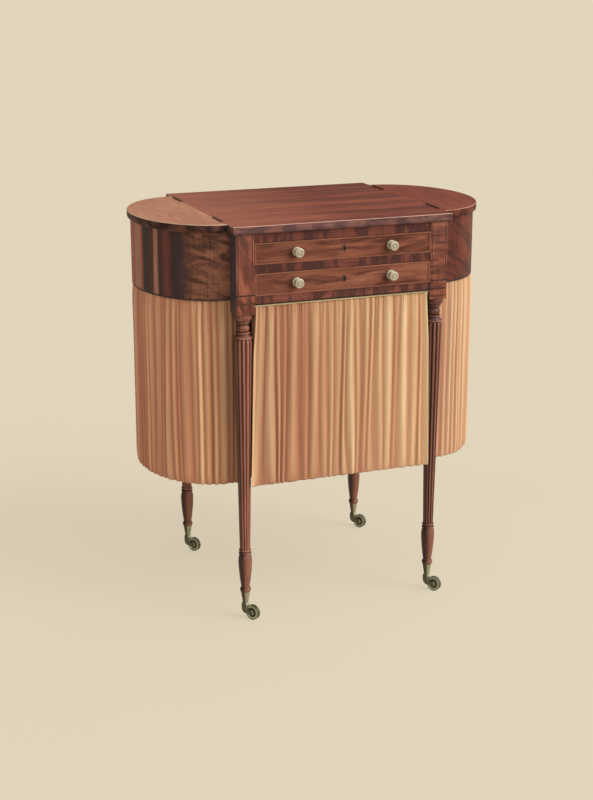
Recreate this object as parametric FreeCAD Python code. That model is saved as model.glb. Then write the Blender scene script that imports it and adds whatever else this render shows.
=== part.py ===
import FreeCAD, Part
import math
import os

# A work table with a straight centre, two D-shaped wings under hinged lids, a shallow drawer,
# a bag drawer, two wing bags of gathered cloth and turned, reeded legs on brass casters.
# X runs to the right, the front faces -Y, Z is up. The origin is on the floor, at the centre
# of the whole table's box.

Vector = FreeCAD.Vector

# Driving sizes of the case and the top
table_height = 740
board_width = 420
board_depth = 410
wing_reach = 126
top_thickness = 15
top_overhang = 6
leg_block_side = 34
leg_block_height = 143.5
apron_height = 121
apron_thickness = 10
panel_thickness = 10
back_setback = 1
bag_bottom_height = 260

# Edge moulding of the top
moulding_upper_radius = 1.6
moulding_lower_radius = 4.5
moulding_steps = 3
seam_gap = 0.4

# Heights of the front, from the top down
top_rail_height = 16
upper_opening_height = 39.5
divider_height = 14.5
lower_opening_height = 40.5
lower_rail_height = 16
strip_height = 4
rail_depth = 50
rail_setback = 1

# Drawers
drawer_clearance = 0.8
front_lift = 0.5
front_thickness = 18
drawer_side_thickness = 8
drawer_side_drop = 4
drawer_back_thickness = 8
drawer_back_gap = 4
drawer_bottom_thickness = 5
drawer_bottom_rise = 6
drawer_groove_depth = 4
cock_bead_width = 2.4
cock_bead_proud = 1.2
runner_width = 8
runner_height = 12

# Bag drawer below the lower front
bag_board_thickness = 5
bag_floor_thickness = 6
bag_side_lap = 14
strip_depth = 7
strip_setback = 1.5
till_width = 90
till_wall = 5
till_floor = 4
till_nut_gap = 0.5

# Gathered cloth
cloth_inset = 0.4
cloth_thickness = 2
fold_depth = 4
cloth_under = 2
cloth_tuck = 1.8
cloth_gather_drop = 26
cloth_hem_rise = 14
cloth_return = 24
wing_fullness = 4.5
front_spread = 2.6
front_fold_count = 18
back_fold_count = 12
wing_fold_count = 18
fold_sway = 1.6
board_play = 0.3

# Legs
reed_count = 12

# Casters
wheel_diameter = 28
wheel_width = 8
wheel_gap = 0.6
rim_width = 2.8
wheel_hub_radius = 4.2
axle_radius = 1.5
running_fit = 0.05
trail = 17
trail_angle = -58
arm_thickness = 1.8
fork_eye_radius = 3.6
wheel_arch_gap = 0.8
horn_radius = 4.2
pintle_radius = 2
pintle_length = 7.5
swivel_gap = 0.2
cup_bottom_height = 31
cup_height = 21
cup_top_radius = 8.7
cup_bottom_radius = 5.3
cup_wall = 1.2
cup_floor = 8
cup_play = 0.05

# Lid hinges
hinge_length = 55
hinge_end_distance = 20
hinge_knuckle_count = 3
knuckle_radius = 2.6
knuckle_end_gap = 0.15
knuckle_groove_gap = 0.4
hinge_pin_radius = 1.1
hinge_axis_rise = 0.75
leaf_thickness = 1.5
leaf_drop = 9
leaf_top_gap = 0.35

# Knobs
knob_end_distance = 78.2
knob_projection = 18
knob_radius = 8.75
knob_bolt_radius = 2.2
knob_bolt_depth = 6
knob_bolt_end = 6
knob_nut_side = 9
knob_nut_thickness = 3
knob_bolt_play = 0.1

# Locks and keyholes
lock_width = 40
lock_height = 30
lock_depth = 9
bolt_width = 14
bolt_height = 14
bolt_thickness = 3
bolt_front_wall = 2
bolt_play = 0.1
bolt_top_gap = 0.3
bolt_travel = 6
mortise_play = 0.6
mortise_spare = 1.6
escutcheon_width = 9
escutcheon_height = 13
escutcheon_thickness = 1.2
escutcheon_proud = 0.4
keyhole_radius = 1.9
keyhole_slot_width = 1.8
keyhole_slot_drop = 5
keyhole_depth_in_lock = 1.5

# Inlay lines cut on the leg blocks
block_border = 4.2
block_panel_top = 3
block_line_depth = 0.6
block_line_width = 1.4

# Length by which a cutting tool passes the face that it cuts
overrun = 5

# Turned profiles: radii as shares of half the block, drops as shares of the turned length.
# A row of four is an arc through its first point.
block_panel_foot_share = 0.75
block_groove_share = 0.865
shaft_top_share = 0.083
shaft_bottom_share = 0.84
shaft_top_radius_share = 0.985
shaft_bottom_radius_share = 0.57
reed_valley_share = 0.88
reed_end_shares = ((0.022, 1), (0.010, 0.97), (0.003, 0.91), (0, 0.84))
capital_shares = (
    (0.94, 0),
    (0.99, 0.011, 0.95, 0.0215),
    (0.86, 0.0245),
    (0.86, 0.0295),
    (0.62, 0.0315),
    (0.70, 0.047, 0.62, 0.0615),
    (0.78, 0.066, 0.66, 0.0705),
    (0.90, 0.0725, 0.94, 0.083),
)
foot_shares = (
    (0.57, 0.84),
    (0.70, 0.8440, 0.62, 0.848),
    (0.71, 0.8525, 0.61, 0.857),
    (0.745, 0.885, 0.63, 0.918),
    (0.49, 0.950, 0.44, 0.976),
    (0.50, 0.984),
    (0.60, 0.992, 0.50, 1),
)

# Knob profile: radii as shares of the knob's radius, distances as shares of its projection
knob_shares = (
    (0.98, 0),
    (0.95, 0.15),
    (0.54, 0.22),
    (0.50, 0.48),
    (1.00, 0.72, 0.84, 0.95),
    (0.26, 1),
)

# Gathered folds: how their widths vary, and where and how far they stand out
fold_spread_shares = (0.28, 0.16)
fold_spread_turns = (2.4, 5.1)
crest_width_share = 0.58
gather_depth_share = 0.5
hem_depth_share = 0.45

# Share of the fullness or spread that each ring of the cloth has, from the bottom up
wing_fullness_shares = (0.78, 1, 0.72, 0.27)
front_spread_shares = (0.8, 1, 0.12, 0)

# Horn of a caster seen from the side: distances as shares of the trail and of the neck's height
horn_bulge_share = 0.42
horn_knee_share = 0.12
horn_low_share = 0.62
horn_crook_share = 0.40

# Derived places of the case
underside = table_height - top_thickness
case_half_width = board_width / 2 - top_overhang
case_half_depth = board_depth / 2 - top_overhang
leg_x = case_half_width - leg_block_side / 2
leg_y = case_half_depth - leg_block_side / 2
opening_half_width = case_half_width - leg_block_side
wall_half_depth = case_half_depth - leg_block_side
panel_outside = opening_half_width + panel_thickness
wing_centre = board_width / 2
apron_bottom = underside - apron_height
block_bottom = underside - leg_block_height
front_plane = -(case_half_depth - rail_setback)
rail_back_plane = front_plane + rail_depth
back_outside = case_half_depth - back_setback
back_inside = back_outside - panel_thickness

# Derived heights of the front
upper_opening_top = underside - top_rail_height
upper_opening_bottom = upper_opening_top - upper_opening_height
lower_opening_top = upper_opening_bottom - divider_height
lower_opening_bottom = lower_opening_top - lower_opening_height
lower_rail_bottom = lower_opening_bottom - lower_rail_height
strip_bottom = lower_rail_bottom - strip_height

# Derived places of the drawers
drawer_half_width = opening_half_width - drawer_clearance
drawer_inner_half = drawer_half_width - drawer_side_thickness
front_back_plane = front_plane + front_thickness
drawer_end = back_inside - drawer_back_gap
drawer_back_plane = drawer_end - drawer_back_thickness
knob_x = drawer_half_width - knob_end_distance
knob_end_plane = front_plane - knob_projection

# Derived places of the bag drawer
strip_front_plane = front_plane + strip_setback
strip_back_plane = strip_front_plane + strip_depth
bag_floor_bottom = bag_bottom_height + cloth_under
bag_floor_top = bag_floor_bottom + bag_floor_thickness
bag_side_top = lower_opening_bottom + bag_side_lap
cloth_depth = fold_depth + cloth_thickness

# Derived places of the casters
wheel_radius = wheel_diameter / 2
cup_top_height = cup_bottom_height + cup_height
horn_top = cup_bottom_height - swivel_gap
fork_half_width = wheel_width / 2 + wheel_gap + arm_thickness
turned_length = block_bottom - cup_top_height
turned_radius = leg_block_side / 2

# Derived places of the hinges
hinge_axis_height = table_height + hinge_axis_rise
lid_half_depth = wall_half_depth + top_overhang
hinge_y = lid_half_depth - hinge_end_distance - hinge_length / 2
knuckle_length = hinge_length / hinge_knuckle_count

# The middle of the table's box, which the origin is moved to
front_reach = max(board_depth / 2, -knob_end_plane)
origin_y = (board_depth / 2 - front_reach) / 2

os.makedirs("parts", exist_ok=True)


def save(name, *solids):
    """Write the solids, moved to the table's origin, as one file."""
    moved = []
    for solid in solids:
        copy = solid.copy()
        copy.translate(Vector(0, -origin_y, 0))
        moved.append(copy)
    shape = moved[0] if len(moved) == 1 else Part.makeCompound(moved)
    shape.exportStep("parts/" + name + ".step")


def box(across, along, up):
    """Box between a pair of limits on each axis."""
    corner = Vector(min(across), min(along), min(up))
    sides = (abs(across[1] - across[0]), abs(along[1] - along[0]), abs(up[1] - up[0]))
    return Part.makeBox(*sides, corner)


def both(limit):
    """Limits that lie as far to each side of the middle."""
    return (-limit, limit)


def other_side(shape):
    """The same piece on the other side of the table's middle."""
    return shape.mirror(Vector(), Vector(1, 0, 0))


def other_end(shape):
    """The same piece at the back instead of the front."""
    return shape.mirror(Vector(), Vector(0, 1, 0))


def rod(radius, start, end):
    """Round bar from one point to another."""
    line = end - start
    return Part.makeCylinder(radius, line.Length, start, line)


def plan_point(a, b):
    return Vector(a, b, 0)


def side_point(a, b):
    return Vector(a, 0, b)


def end_point(a, b):
    return Vector(0, a, b)


def face_of(steps, place):
    """Face inside lines and arcs. A step of four numbers is an arc through its first point."""
    start = place(*steps[0])
    previous = start
    edges = []
    for step in steps[1:]:
        end = place(*step[-2:])
        if len(step) == 4:
            edges.append(Part.Arc(previous, place(*step[:2]), end).toShape())
        else:
            edges.append(Part.makeLine(previous, end))
        previous = end
    edges.append(Part.makeLine(previous, start))
    return Part.Face(Part.Wire(edges))


def turned(steps):
    """Solid turned about Z from a profile of radii and heights."""
    return face_of(steps, side_point).revolve(Vector(), Vector(0, 0, 1), 360)


def round_long_edges(solid, height, radius, wanted):
    """Round the edges at one height whose middle the test accepts."""
    chosen = []
    for edge in solid.Edges:
        middle = edge.CenterOfMass
        level = edge.BoundBox.ZLength < radius and abs(middle.z - height) < radius
        if level and wanted(edge):
            chosen.append(edge)
    return solid.makeFillet(radius, chosen)


def half_ellipse(reach, half):
    """Edge of a wing's round end, from its front to its back, counterclockwise."""
    centre = Vector(wing_centre, 0, 0)
    tip = Vector(wing_centre + reach, 0, 0)
    back = Vector(wing_centre, half, 0)
    front = Vector(wing_centre, -half, 0)
    if reach > half:
        ellipse = Part.Ellipse(tip, back, centre)
    else:
        ellipse = Part.Ellipse(back, Vector(wing_centre - reach, 0, 0), centre)
    return Part.ArcOfEllipse(ellipse, ellipse.parameter(front), ellipse.parameter(back)).toShape()


def wing_edges(inset, fullness=0):
    """Front, round end and back of a wing's case, drawn in by an inset. Fullness carries its
    round end further out."""
    half = wall_half_depth - inset
    front = Part.makeLine(Vector(panel_outside, -half, 0), Vector(wing_centre, -half, 0))
    back = Part.makeLine(Vector(wing_centre, half, 0), Vector(panel_outside, half, 0))
    return [front, half_ellipse(wing_reach - top_overhang - inset + fullness, half), back]


def wing_outline(inset, height, fullness=0):
    """Closed line of a wing's plan at one height."""
    edges = wing_edges(inset, fullness)
    closing = Part.makeLine(edges[-1].Vertexes[-1].Point, edges[0].Vertexes[0].Point)
    wire = Part.Wire(edges + [closing])
    wire.translate(Vector(0, 0, height))
    return wire


def wing_block(inset, bottom, top, fullness=0):
    """Solid with a wing's plan, drawn in by an inset, between two heights."""
    face = Part.Face(wing_outline(inset, bottom, fullness))
    return face.extrude(Vector(0, 0, top - bottom))


# Hinges of the right lid: a fixed leaf, a moving leaf and a pin at each end of the seam
def knuckles(middle, first, bore_radius):
    """Every second knuckle of a hinge, with the necks that join them to a leaf at +X."""
    pieces = []
    for index in range(first, hinge_knuckle_count, 2):
        start = middle - hinge_length / 2 + index * knuckle_length + knuckle_end_gap
        end = start + knuckle_length - 2 * knuckle_end_gap
        barrel = rod(knuckle_radius, Vector(0, start, 0), Vector(0, end, 0))
        leaf_top = -(knuckle_radius + leaf_top_gap)
        neck = box((seam_gap / 2, seam_gap / 2 + leaf_thickness), (start, end), (leaf_top, 0))
        pieces.append(barrel.fuse(neck))
    bore = rod(bore_radius, Vector(0, -board_depth, 0), Vector(0, board_depth, 0))
    return [piece.cut(bore) for piece in pieces]


def leaf(middle, first):
    """Leaf on the +X side of the hinge axis."""
    leaf_top = -(knuckle_radius + leaf_top_gap)
    across = (seam_gap / 2, seam_gap / 2 + leaf_thickness)
    along = (middle - hinge_length / 2, middle + hinge_length / 2)
    plate = box(across, along, (leaf_top - leaf_drop, leaf_top))
    return plate.multiFuse(knuckles(middle, first, hinge_pin_radius + running_fit)).removeSplitter()


def hinge_room(middle):
    """Room for the knuckles and for one leaf, on the +X side of the hinge axis."""
    along = (middle - hinge_length / 2, middle + hinge_length / 2)
    leaf_bottom = -(knuckle_radius + leaf_top_gap + leaf_drop)
    slot = box((-overrun, seam_gap / 2 + leaf_thickness), along, (leaf_bottom, overrun))
    start = Vector(0, along[0] - knuckle_groove_gap, 0)
    end = Vector(0, along[1] + knuckle_groove_gap, 0)
    return slot.fuse(rod(knuckle_radius + knuckle_groove_gap, start, end))


def at_seam(shape):
    """Move a hinge piece from its own axis to the right seam."""
    copy = shape.copy()
    copy.translate(Vector(wing_centre, 0, hinge_axis_height))
    return copy


def flipped(shape):
    """Turn a hinge piece to the other side of the hinge axis."""
    return shape.mirror(Vector(), Vector(1, 0, 0))


hinge_middles = (-hinge_y, hinge_y)
moving_leaves = [at_seam(leaf(middle, 1)) for middle in hinge_middles]
fixed_leaves = [at_seam(flipped(leaf(middle, 0))) for middle in hinge_middles]
lid_rooms = [at_seam(hinge_room(middle)) for middle in hinge_middles]
board_rooms = [at_seam(flipped(hinge_room(middle))) for middle in hinge_middles]
pins = []
for middle in hinge_middles:
    pin_start = Vector(0, middle - hinge_length / 2, 0)
    pin_end = Vector(0, middle + hinge_length / 2, 0)
    pins.append(at_seam(rod(hinge_pin_radius, pin_start, pin_end)))

save("right_lid_leaves", *moving_leaves)
save("left_lid_leaves", *[other_side(piece) for piece in moving_leaves])
save("hinge_fixed_leaves", *(fixed_leaves + [other_side(piece) for piece in fixed_leaves]))
save("hinge_pins", *(pins + [other_side(piece) for piece in pins]))


# Centre board: a plain middle, and a moulded strip at the front and at the back
def moulded_strip():
    """Front strip of the board, rounded on its three open sides."""
    strip = box(both(board_width / 2 - seam_gap / 2), (-board_depth / 2, -lid_half_depth),
                (underside, table_height))

    def is_open(edge):
        return edge.CenterOfMass.y < -lid_half_depth - moulding_upper_radius

    strip = round_long_edges(strip, table_height, moulding_upper_radius, is_open)
    return round_long_edges(strip, underside, moulding_lower_radius, is_open)


strip = moulded_strip()
board_middle = box(both(board_width / 2 - seam_gap / 2), both(lid_half_depth),
                   (underside, table_height))
centre_top = board_middle.multiFuse([strip, other_end(strip)])
for room in board_rooms:
    centre_top = centre_top.cut(room).cut(other_side(room))
save("centre_top", centre_top)


# D-shaped lids, moulded round their curved edge
def lid_outline(inset, height):
    """Outline of the right lid, drawn in by an inset."""
    curve = half_ellipse(wing_reach - inset, lid_half_depth - inset)
    closing = Part.makeLine(curve.Vertexes[-1].Point, curve.Vertexes[0].Point)
    wire = Part.Wire([curve, closing])
    wire.translate(Vector(0, 0, height))
    return wire


def wing_lid():
    """Right lid, through outlines up the roundings of its edge."""
    outlines = []
    for step in range(moulding_steps + 1):
        angle = math.pi / 2 * step / moulding_steps
        inset = moulding_lower_radius * (1 - math.sin(angle))
        rise = moulding_lower_radius * (1 - math.cos(angle))
        outlines.append(lid_outline(inset, underside + rise))
    for step in range(moulding_steps + 1):
        angle = math.pi / 2 * step / moulding_steps
        inset = moulding_upper_radius * (1 - math.cos(angle))
        drop = moulding_upper_radius * (1 - math.sin(angle))
        outlines.append(lid_outline(inset, table_height - drop))
    lid = Part.makeLoft(outlines, True, True)
    seam = box((wing_centre - overrun, wing_centre + seam_gap / 2),
               both(lid_half_depth + overrun), (underside - overrun, table_height + overrun))
    lid = lid.cut(seam)
    for room in lid_rooms:
        lid = lid.cut(room)
    return lid


lid = wing_lid()
save("right_lid", lid)
save("left_lid", other_side(lid))

# Round aprons of the wings, and the straight walls between the wings and the drawers
apron = wing_block(0, apron_bottom, underside).cut(
    wing_block(apron_thickness, apron_bottom - overrun, underside + overrun))
save("right_apron", apron)
save("left_apron", other_side(apron))

side_panel = box((opening_half_width, panel_outside), both(wall_half_depth),
                 (bag_bottom_height, underside))
save("right_side_panel", side_panel)
save("left_side_panel", other_side(side_panel))
save("back_panel", box(both(opening_half_width), (back_inside, back_outside),
                       (apron_bottom, underside)))


# Legs: a square block with cut inlay lines, a turned capital, a reeded shaft and a turned foot
def shares_to_profile(rows):
    """Turned profile from shares of the block's half side and of the turned length."""
    steps = []
    for row in rows:
        step = []
        for index, share in enumerate(row):
            size = share * turned_radius if index % 2 == 0 else block_bottom - share * turned_length
            step.append(size)
        steps.append(tuple(step))
    return steps


def reeded_wire(radius, height):
    """Ring of equal round reeds."""
    edges = []
    step = 2 * math.pi / reed_count
    for index in range(reed_count):
        points = []
        for turn, share in ((0, reed_valley_share), (1 / 2, 1), (1, reed_valley_share)):
            angle = (index + turn) * step
            across = math.cos(angle) * radius * share
            along = math.sin(angle) * radius * share
            points.append(Vector(across, along, height))
        edges.append(Part.Arc(*points).toShape())
    return Part.Wire(edges)


def reeded_shaft():
    """Tapering shaft of reeds whose upper ends are rounded."""
    top = block_bottom - shaft_top_share * turned_length
    bottom = block_bottom - shaft_bottom_share * turned_length
    rings = [reeded_wire(shaft_bottom_radius_share * turned_radius, bottom)]
    for drop_share, radius_share in reed_end_shares:
        radius = shaft_top_radius_share * turned_radius * radius_share
        rings.append(reeded_wire(radius, top - drop_share * turned_length))
    return Part.makeLoft(rings, True, True)


def leg():
    """Front left leg, standing on its own axis."""
    half = leg_block_side / 2
    block = box(both(half), both(half), (block_bottom, underside))
    panel_foot = underside - block_panel_foot_share * leg_block_height
    panel_top = underside - block_panel_top
    panel = box(both(half - block_border), (-half - overrun, -half + block_line_depth),
                (panel_foot, panel_top))
    groove_top = underside - block_groove_share * leg_block_height
    groove = box(both(half + overrun), both(half + overrun), (groove_top - block_line_width, groove_top))
    core = box(both(half - block_line_depth), both(half - block_line_depth),
               (groove_top - leg_block_height, groove_top + leg_block_height))
    block = block.cut(panel).cut(groove.cut(core))
    capital = shares_to_profile(capital_shares)
    capital = turned([(0, block_bottom)] + capital + [(0, capital[-1][-1])])
    foot = shares_to_profile(foot_shares)
    slope = (cup_top_radius - cup_bottom_radius) / cup_height
    spigot_top = cup_top_radius - cup_wall - cup_play
    spigot_height = cup_height - cup_floor
    spigot_bottom = spigot_top - slope * spigot_height
    spigot = [(spigot_top, cup_top_height), (spigot_bottom, cup_top_height - spigot_height)]
    foot = turned([(0, foot[0][-1])] + foot + spigot + [(0, cup_top_height - spigot_height)])
    return block.multiFuse([capital, reeded_shaft(), foot])


def placed(shape, x, y):
    copy = shape.copy()
    copy.translate(Vector(x, y, 0))
    return copy


front_left_leg = placed(leg(), -leg_x, -leg_y)
save("front_left_leg", front_left_leg)
save("front_right_leg", other_side(front_left_leg))
save("back_left_leg", other_end(front_left_leg))
save("back_right_leg", other_side(other_end(front_left_leg)))


# Brass casters: a tapered cup on the leg, a swivelling horn, an axle and a dished wheel
def caster_cup():
    inner_top = cup_top_radius - cup_wall
    slope = (cup_top_radius - cup_bottom_radius) / cup_height
    inner_bottom = inner_top - slope * (cup_height - cup_floor)
    bore = pintle_radius + running_fit
    return turned([
        (bore, cup_bottom_height),
        (cup_bottom_radius, cup_bottom_height),
        (cup_top_radius, cup_top_height),
        (inner_top, cup_top_height),
        (inner_bottom, cup_bottom_height + cup_floor),
        (bore, cup_bottom_height + cup_floor),
    ])


def horn():
    """Horn and fork of one caster, trailing towards +X."""
    neck = horn_top - wheel_radius
    low = wheel_radius - fork_eye_radius
    side_view = face_of([
        (-horn_radius, horn_top),
        (-horn_radius - horn_bulge_share * horn_radius, horn_top - horn_low_share * neck,
         horn_knee_share * trail, low),
        (trail, low),
        (trail + fork_eye_radius, wheel_radius, trail, wheel_radius + fork_eye_radius),
        (horn_crook_share * trail, wheel_radius + fork_eye_radius),
        (horn_radius, horn_top),
    ], side_point)
    side_view.translate(Vector(0, -fork_half_width, 0))
    body = side_view.extrude(Vector(0, 2 * fork_half_width, 0))
    shoulder = wheel_radius + fork_eye_radius
    end_view = face_of([
        (-horn_radius, horn_top),
        (horn_radius, horn_top),
        (fork_half_width, shoulder),
        (fork_half_width, 0),
        (-fork_half_width, 0),
        (-fork_half_width, shoulder),
    ], end_point)
    end_view.translate(Vector(-2 * horn_radius, 0, 0))
    body = body.common(end_view.extrude(Vector(2 * horn_radius + trail + 2 * fork_eye_radius, 0, 0)))
    plan = face_of([
        (trail + 2 * fork_eye_radius, -fork_half_width),
        (trail + 2 * fork_eye_radius, fork_half_width),
        (0, fork_half_width),
        (-2 * horn_radius * horn_bulge_share - horn_radius, 0, 0, -fork_half_width),
    ], plan_point)
    body = body.common(plan.extrude(Vector(0, 0, horn_top)))
    slot_half = wheel_width / 2 + wheel_gap
    hub = Vector(trail, 0, wheel_radius)
    arch = rod(wheel_radius + wheel_arch_gap, hub - Vector(0, slot_half, 0),
               hub + Vector(0, slot_half, 0))
    body = body.cut(arch)
    pintle = rod(pintle_radius, Vector(0, 0, horn_top - overrun),
                 Vector(0, 0, cup_bottom_height + pintle_length))
    body = body.fuse(pintle)
    return body.cut(rod(axle_radius, hub - Vector(0, board_depth, 0), hub + Vector(0, board_depth, 0)))


def wheel():
    """Dished wheel on the axle, trailing towards +X."""
    half = wheel_width / 2
    bore = axle_radius + running_fit
    rim = wheel_radius - rim_width
    solid = turned([
        (bore, half),
        (wheel_hub_radius, half),
        (rim, half / 2),
        (wheel_radius, half),
        (wheel_radius, -half),
        (rim, -half / 2),
        (wheel_hub_radius, -half),
        (bore, -half),
    ])
    solid.rotate(Vector(), Vector(1, 0, 0), 90)
    solid.translate(Vector(trail, 0, wheel_radius))
    return solid


def axle():
    reach = Vector(0, fork_half_width, 0)
    hub = Vector(trail, 0, wheel_radius)
    return rod(axle_radius, hub - reach, hub + reach)


cup = caster_cup()
cups = []
for name, x, y in (
    ("front_left", -leg_x, -leg_y),
    ("front_right", leg_x, -leg_y),
    ("back_left", -leg_x, leg_y),
    ("back_right", leg_x, leg_y),
):
    cups.append(placed(cup, x, y))
    for piece_name, piece in (("horn", horn()), ("wheel", wheel()), ("axle", axle())):
        piece.rotate(Vector(), Vector(0, 0, 1), trail_angle)
        save(name + "_caster_" + piece_name, placed(piece, x, y))
save("caster_cups", *cups)


# Rails between the front legs, each with a mortise for the lock below it
def rail(bottom, top):
    """Rail with a mortise in its underside."""
    solid = box(both(opening_half_width), (front_plane, rail_back_plane), (bottom, top))
    bolt_front = front_back_plane - lock_depth + bolt_front_wall
    mortise = box(both(bolt_width / 2 + mortise_play),
                  (bolt_front - mortise_play, bolt_front + bolt_thickness + mortise_play),
                  (bottom - overrun, bottom + bolt_travel + mortise_spare - drawer_clearance))
    return solid.cut(mortise)


save("top_rail", rail(upper_opening_top, underside))
save("divider_rail", rail(lower_opening_top, upper_opening_bottom))

# Runners that carry the drawer sides
upper_runner = box((opening_half_width - runner_width, opening_half_width),
                   (rail_back_plane, back_inside),
                   (upper_opening_bottom - runner_height, upper_opening_bottom))
lower_runner = box((opening_half_width - runner_width, opening_half_width),
                   (-wall_half_depth, back_inside),
                   (lower_opening_bottom - runner_height, lower_opening_bottom))
runners = [upper_runner, lower_runner]
save("drawer_runners", *(runners + [other_side(piece) for piece in runners]))


# Drawer fronts with a cock bead, a lock, a keyhole and two knobs
def keyhole(height, start, end):
    """Round hole with a slot below it, from one depth to another."""
    hole = rod(keyhole_radius, Vector(0, start, height), Vector(0, end, height))
    return hole.fuse(box(both(keyhole_slot_width / 2), (start, end),
                         (height - keyhole_slot_drop, height)))


def escutcheon_plate(height, start, end):
    """Plate with round ends."""
    radius = escutcheon_width / 2
    straight = escutcheon_height / 2 - radius
    plate = box(both(radius), (start, end), (height - straight, height + straight))
    upper = rod(radius, Vector(0, start, height + straight), Vector(0, end, height + straight))
    lower = rod(radius, Vector(0, start, height - straight), Vector(0, end, height - straight))
    return plate.multiFuse([upper, lower]).removeSplitter()


def knob():
    """Turned knob, standing out along Z from its base."""
    steps = []
    for row in knob_shares:
        step = []
        for index, share in enumerate(row):
            step.append(share * (knob_radius if index % 2 == 0 else knob_projection))
        steps.append(tuple(step))
    hole = knob_bolt_radius + knob_bolt_play
    inner = [(0, knob_projection), (0, knob_bolt_depth), (hole, knob_bolt_depth), (hole, 0)]
    return turned(steps + inner)


def drawer_front(bottom, top):
    """Front board, its lock, bolt, escutcheon, knobs and knob bolts."""
    middle = (bottom + top) / 2
    board = box(both(drawer_half_width), (front_plane, front_back_plane), (bottom, top))
    bead = box(both(drawer_half_width), (front_plane - cock_bead_proud, front_plane), (bottom, top))
    field = box(both(drawer_half_width - cock_bead_width), (front_plane - overrun, front_plane),
                (bottom + cock_bead_width, top - cock_bead_width))
    board = board.fuse(bead.cut(field)).removeSplitter()
    lock_front = front_back_plane - lock_depth
    lock = box(both(lock_width / 2), (lock_front, front_back_plane), (top - lock_height, top))
    board = board.cut(lock)
    bolt_front = lock_front + bolt_front_wall
    bolt_back = bolt_front + bolt_thickness
    bolt_bottom = top - bolt_top_gap - bolt_height
    bolt = box(both(bolt_width / 2), (bolt_front, bolt_back), (bolt_bottom, top - bolt_top_gap))
    chamber = box(both(bolt_width / 2 + bolt_play), (bolt_front - bolt_play, bolt_back + bolt_play),
                  (bolt_bottom, top + overrun))
    lock = lock.cut(chamber).cut(keyhole(middle, lock_front, lock_front + keyhole_depth_in_lock))
    plate_front = front_plane - escutcheon_proud
    plate = escutcheon_plate(middle, plate_front, plate_front + escutcheon_thickness)
    board = board.cut(plate).cut(keyhole(middle, front_plane - overrun, lock_front))
    plate = plate.cut(keyhole(middle, plate_front, front_plane + overrun))
    knobs = []
    bolts = []
    for x in both(knob_x):
        piece = knob()
        piece.rotate(Vector(), Vector(1, 0, 0), 90)
        piece.translate(Vector(x, front_plane, middle))
        knobs.append(piece)
        shank = rod(knob_bolt_radius, Vector(x, front_plane - knob_bolt_depth, middle),
                    Vector(x, front_back_plane + knob_bolt_end, middle))
        nut = box((x - knob_nut_side / 2, x + knob_nut_side / 2),
                  (front_back_plane, front_back_plane + knob_nut_thickness),
                  (middle - knob_nut_side / 2, middle + knob_nut_side / 2))
        bolts.append(shank.fuse(nut))
        board = board.cut(rod(knob_bolt_radius + knob_bolt_play,
                              Vector(x, front_plane - overrun, middle),
                              Vector(x, front_back_plane + overrun, middle)))
    return board, lock, bolt, plate, knobs, bolts


def drawer_side(bottom, top):
    """Right side of a drawer."""
    return box((drawer_inner_half, drawer_half_width), (front_back_plane, drawer_end), (bottom, top))


def save_front(name, bottom, top):
    """Save all that a drawer front carries, and return its board."""
    board, lock, bolt, plate, knobs, bolts = drawer_front(bottom, top)
    save(name + "_lock", lock)
    save(name + "_lock_bolt", bolt)
    save(name + "_escutcheon", plate)
    save(name + "_knobs", *knobs)
    save(name + "_knob_bolts", *bolts)
    return board


# Upper drawer
upper_front_top = upper_opening_top - drawer_clearance
upper_side_top = upper_front_top - drawer_side_drop
bottom_underside = upper_opening_bottom + drawer_bottom_rise
bottom_topside = bottom_underside + drawer_bottom_thickness
bottom_board = box(both(drawer_inner_half + drawer_groove_depth),
                   (front_back_plane - drawer_groove_depth, drawer_end),
                   (bottom_underside, bottom_topside))
upper_front = save_front("upper", upper_opening_bottom + front_lift, upper_front_top)
save("upper_drawer_front", upper_front.cut(bottom_board))
upper_side = drawer_side(upper_opening_bottom, upper_side_top).cut(bottom_board)
save("upper_drawer_sides", upper_side, other_side(upper_side))
save("upper_drawer_back", box(both(drawer_inner_half), (drawer_back_plane, drawer_end),
                              (bottom_topside, upper_side_top)))
lock_notch = box(both(lock_width / 2), (front_back_plane - lock_depth, front_back_plane),
                 (upper_front_top - lock_height, upper_front_top))
save("upper_drawer_bottom", bottom_board.cut(lock_notch))

# Bag drawer: a shallow frame, the rail and strip under its front, and the boards of the bag
lower_front_top = lower_opening_top - drawer_clearance
lower_side_top = lower_front_top - drawer_side_drop
save("lower_drawer_front", save_front("lower", lower_opening_bottom, lower_front_top))
lower_side = drawer_side(lower_opening_bottom, lower_side_top)
save("lower_drawer_sides", lower_side, other_side(lower_side))
save("lower_drawer_back", box(both(drawer_inner_half), (drawer_back_plane, drawer_end),
                              (lower_opening_bottom, lower_side_top)))
save("lower_rail", box(both(drawer_half_width), (front_plane, front_back_plane),
                       (lower_rail_bottom, lower_opening_bottom)))


def pale_strip():
    """Strip under the rail with a rounded front."""
    half = strip_height / 2
    middle = lower_rail_bottom - half
    profile = face_of([
        (strip_back_plane, strip_bottom),
        (strip_back_plane, lower_rail_bottom),
        (strip_front_plane + half, lower_rail_bottom),
        (strip_front_plane, middle, strip_front_plane + half, strip_bottom),
    ], end_point)
    profile.translate(Vector(-drawer_half_width, 0, 0))
    return profile.extrude(Vector(2 * drawer_half_width, 0, 0))


save("pale_strip", pale_strip())

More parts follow.
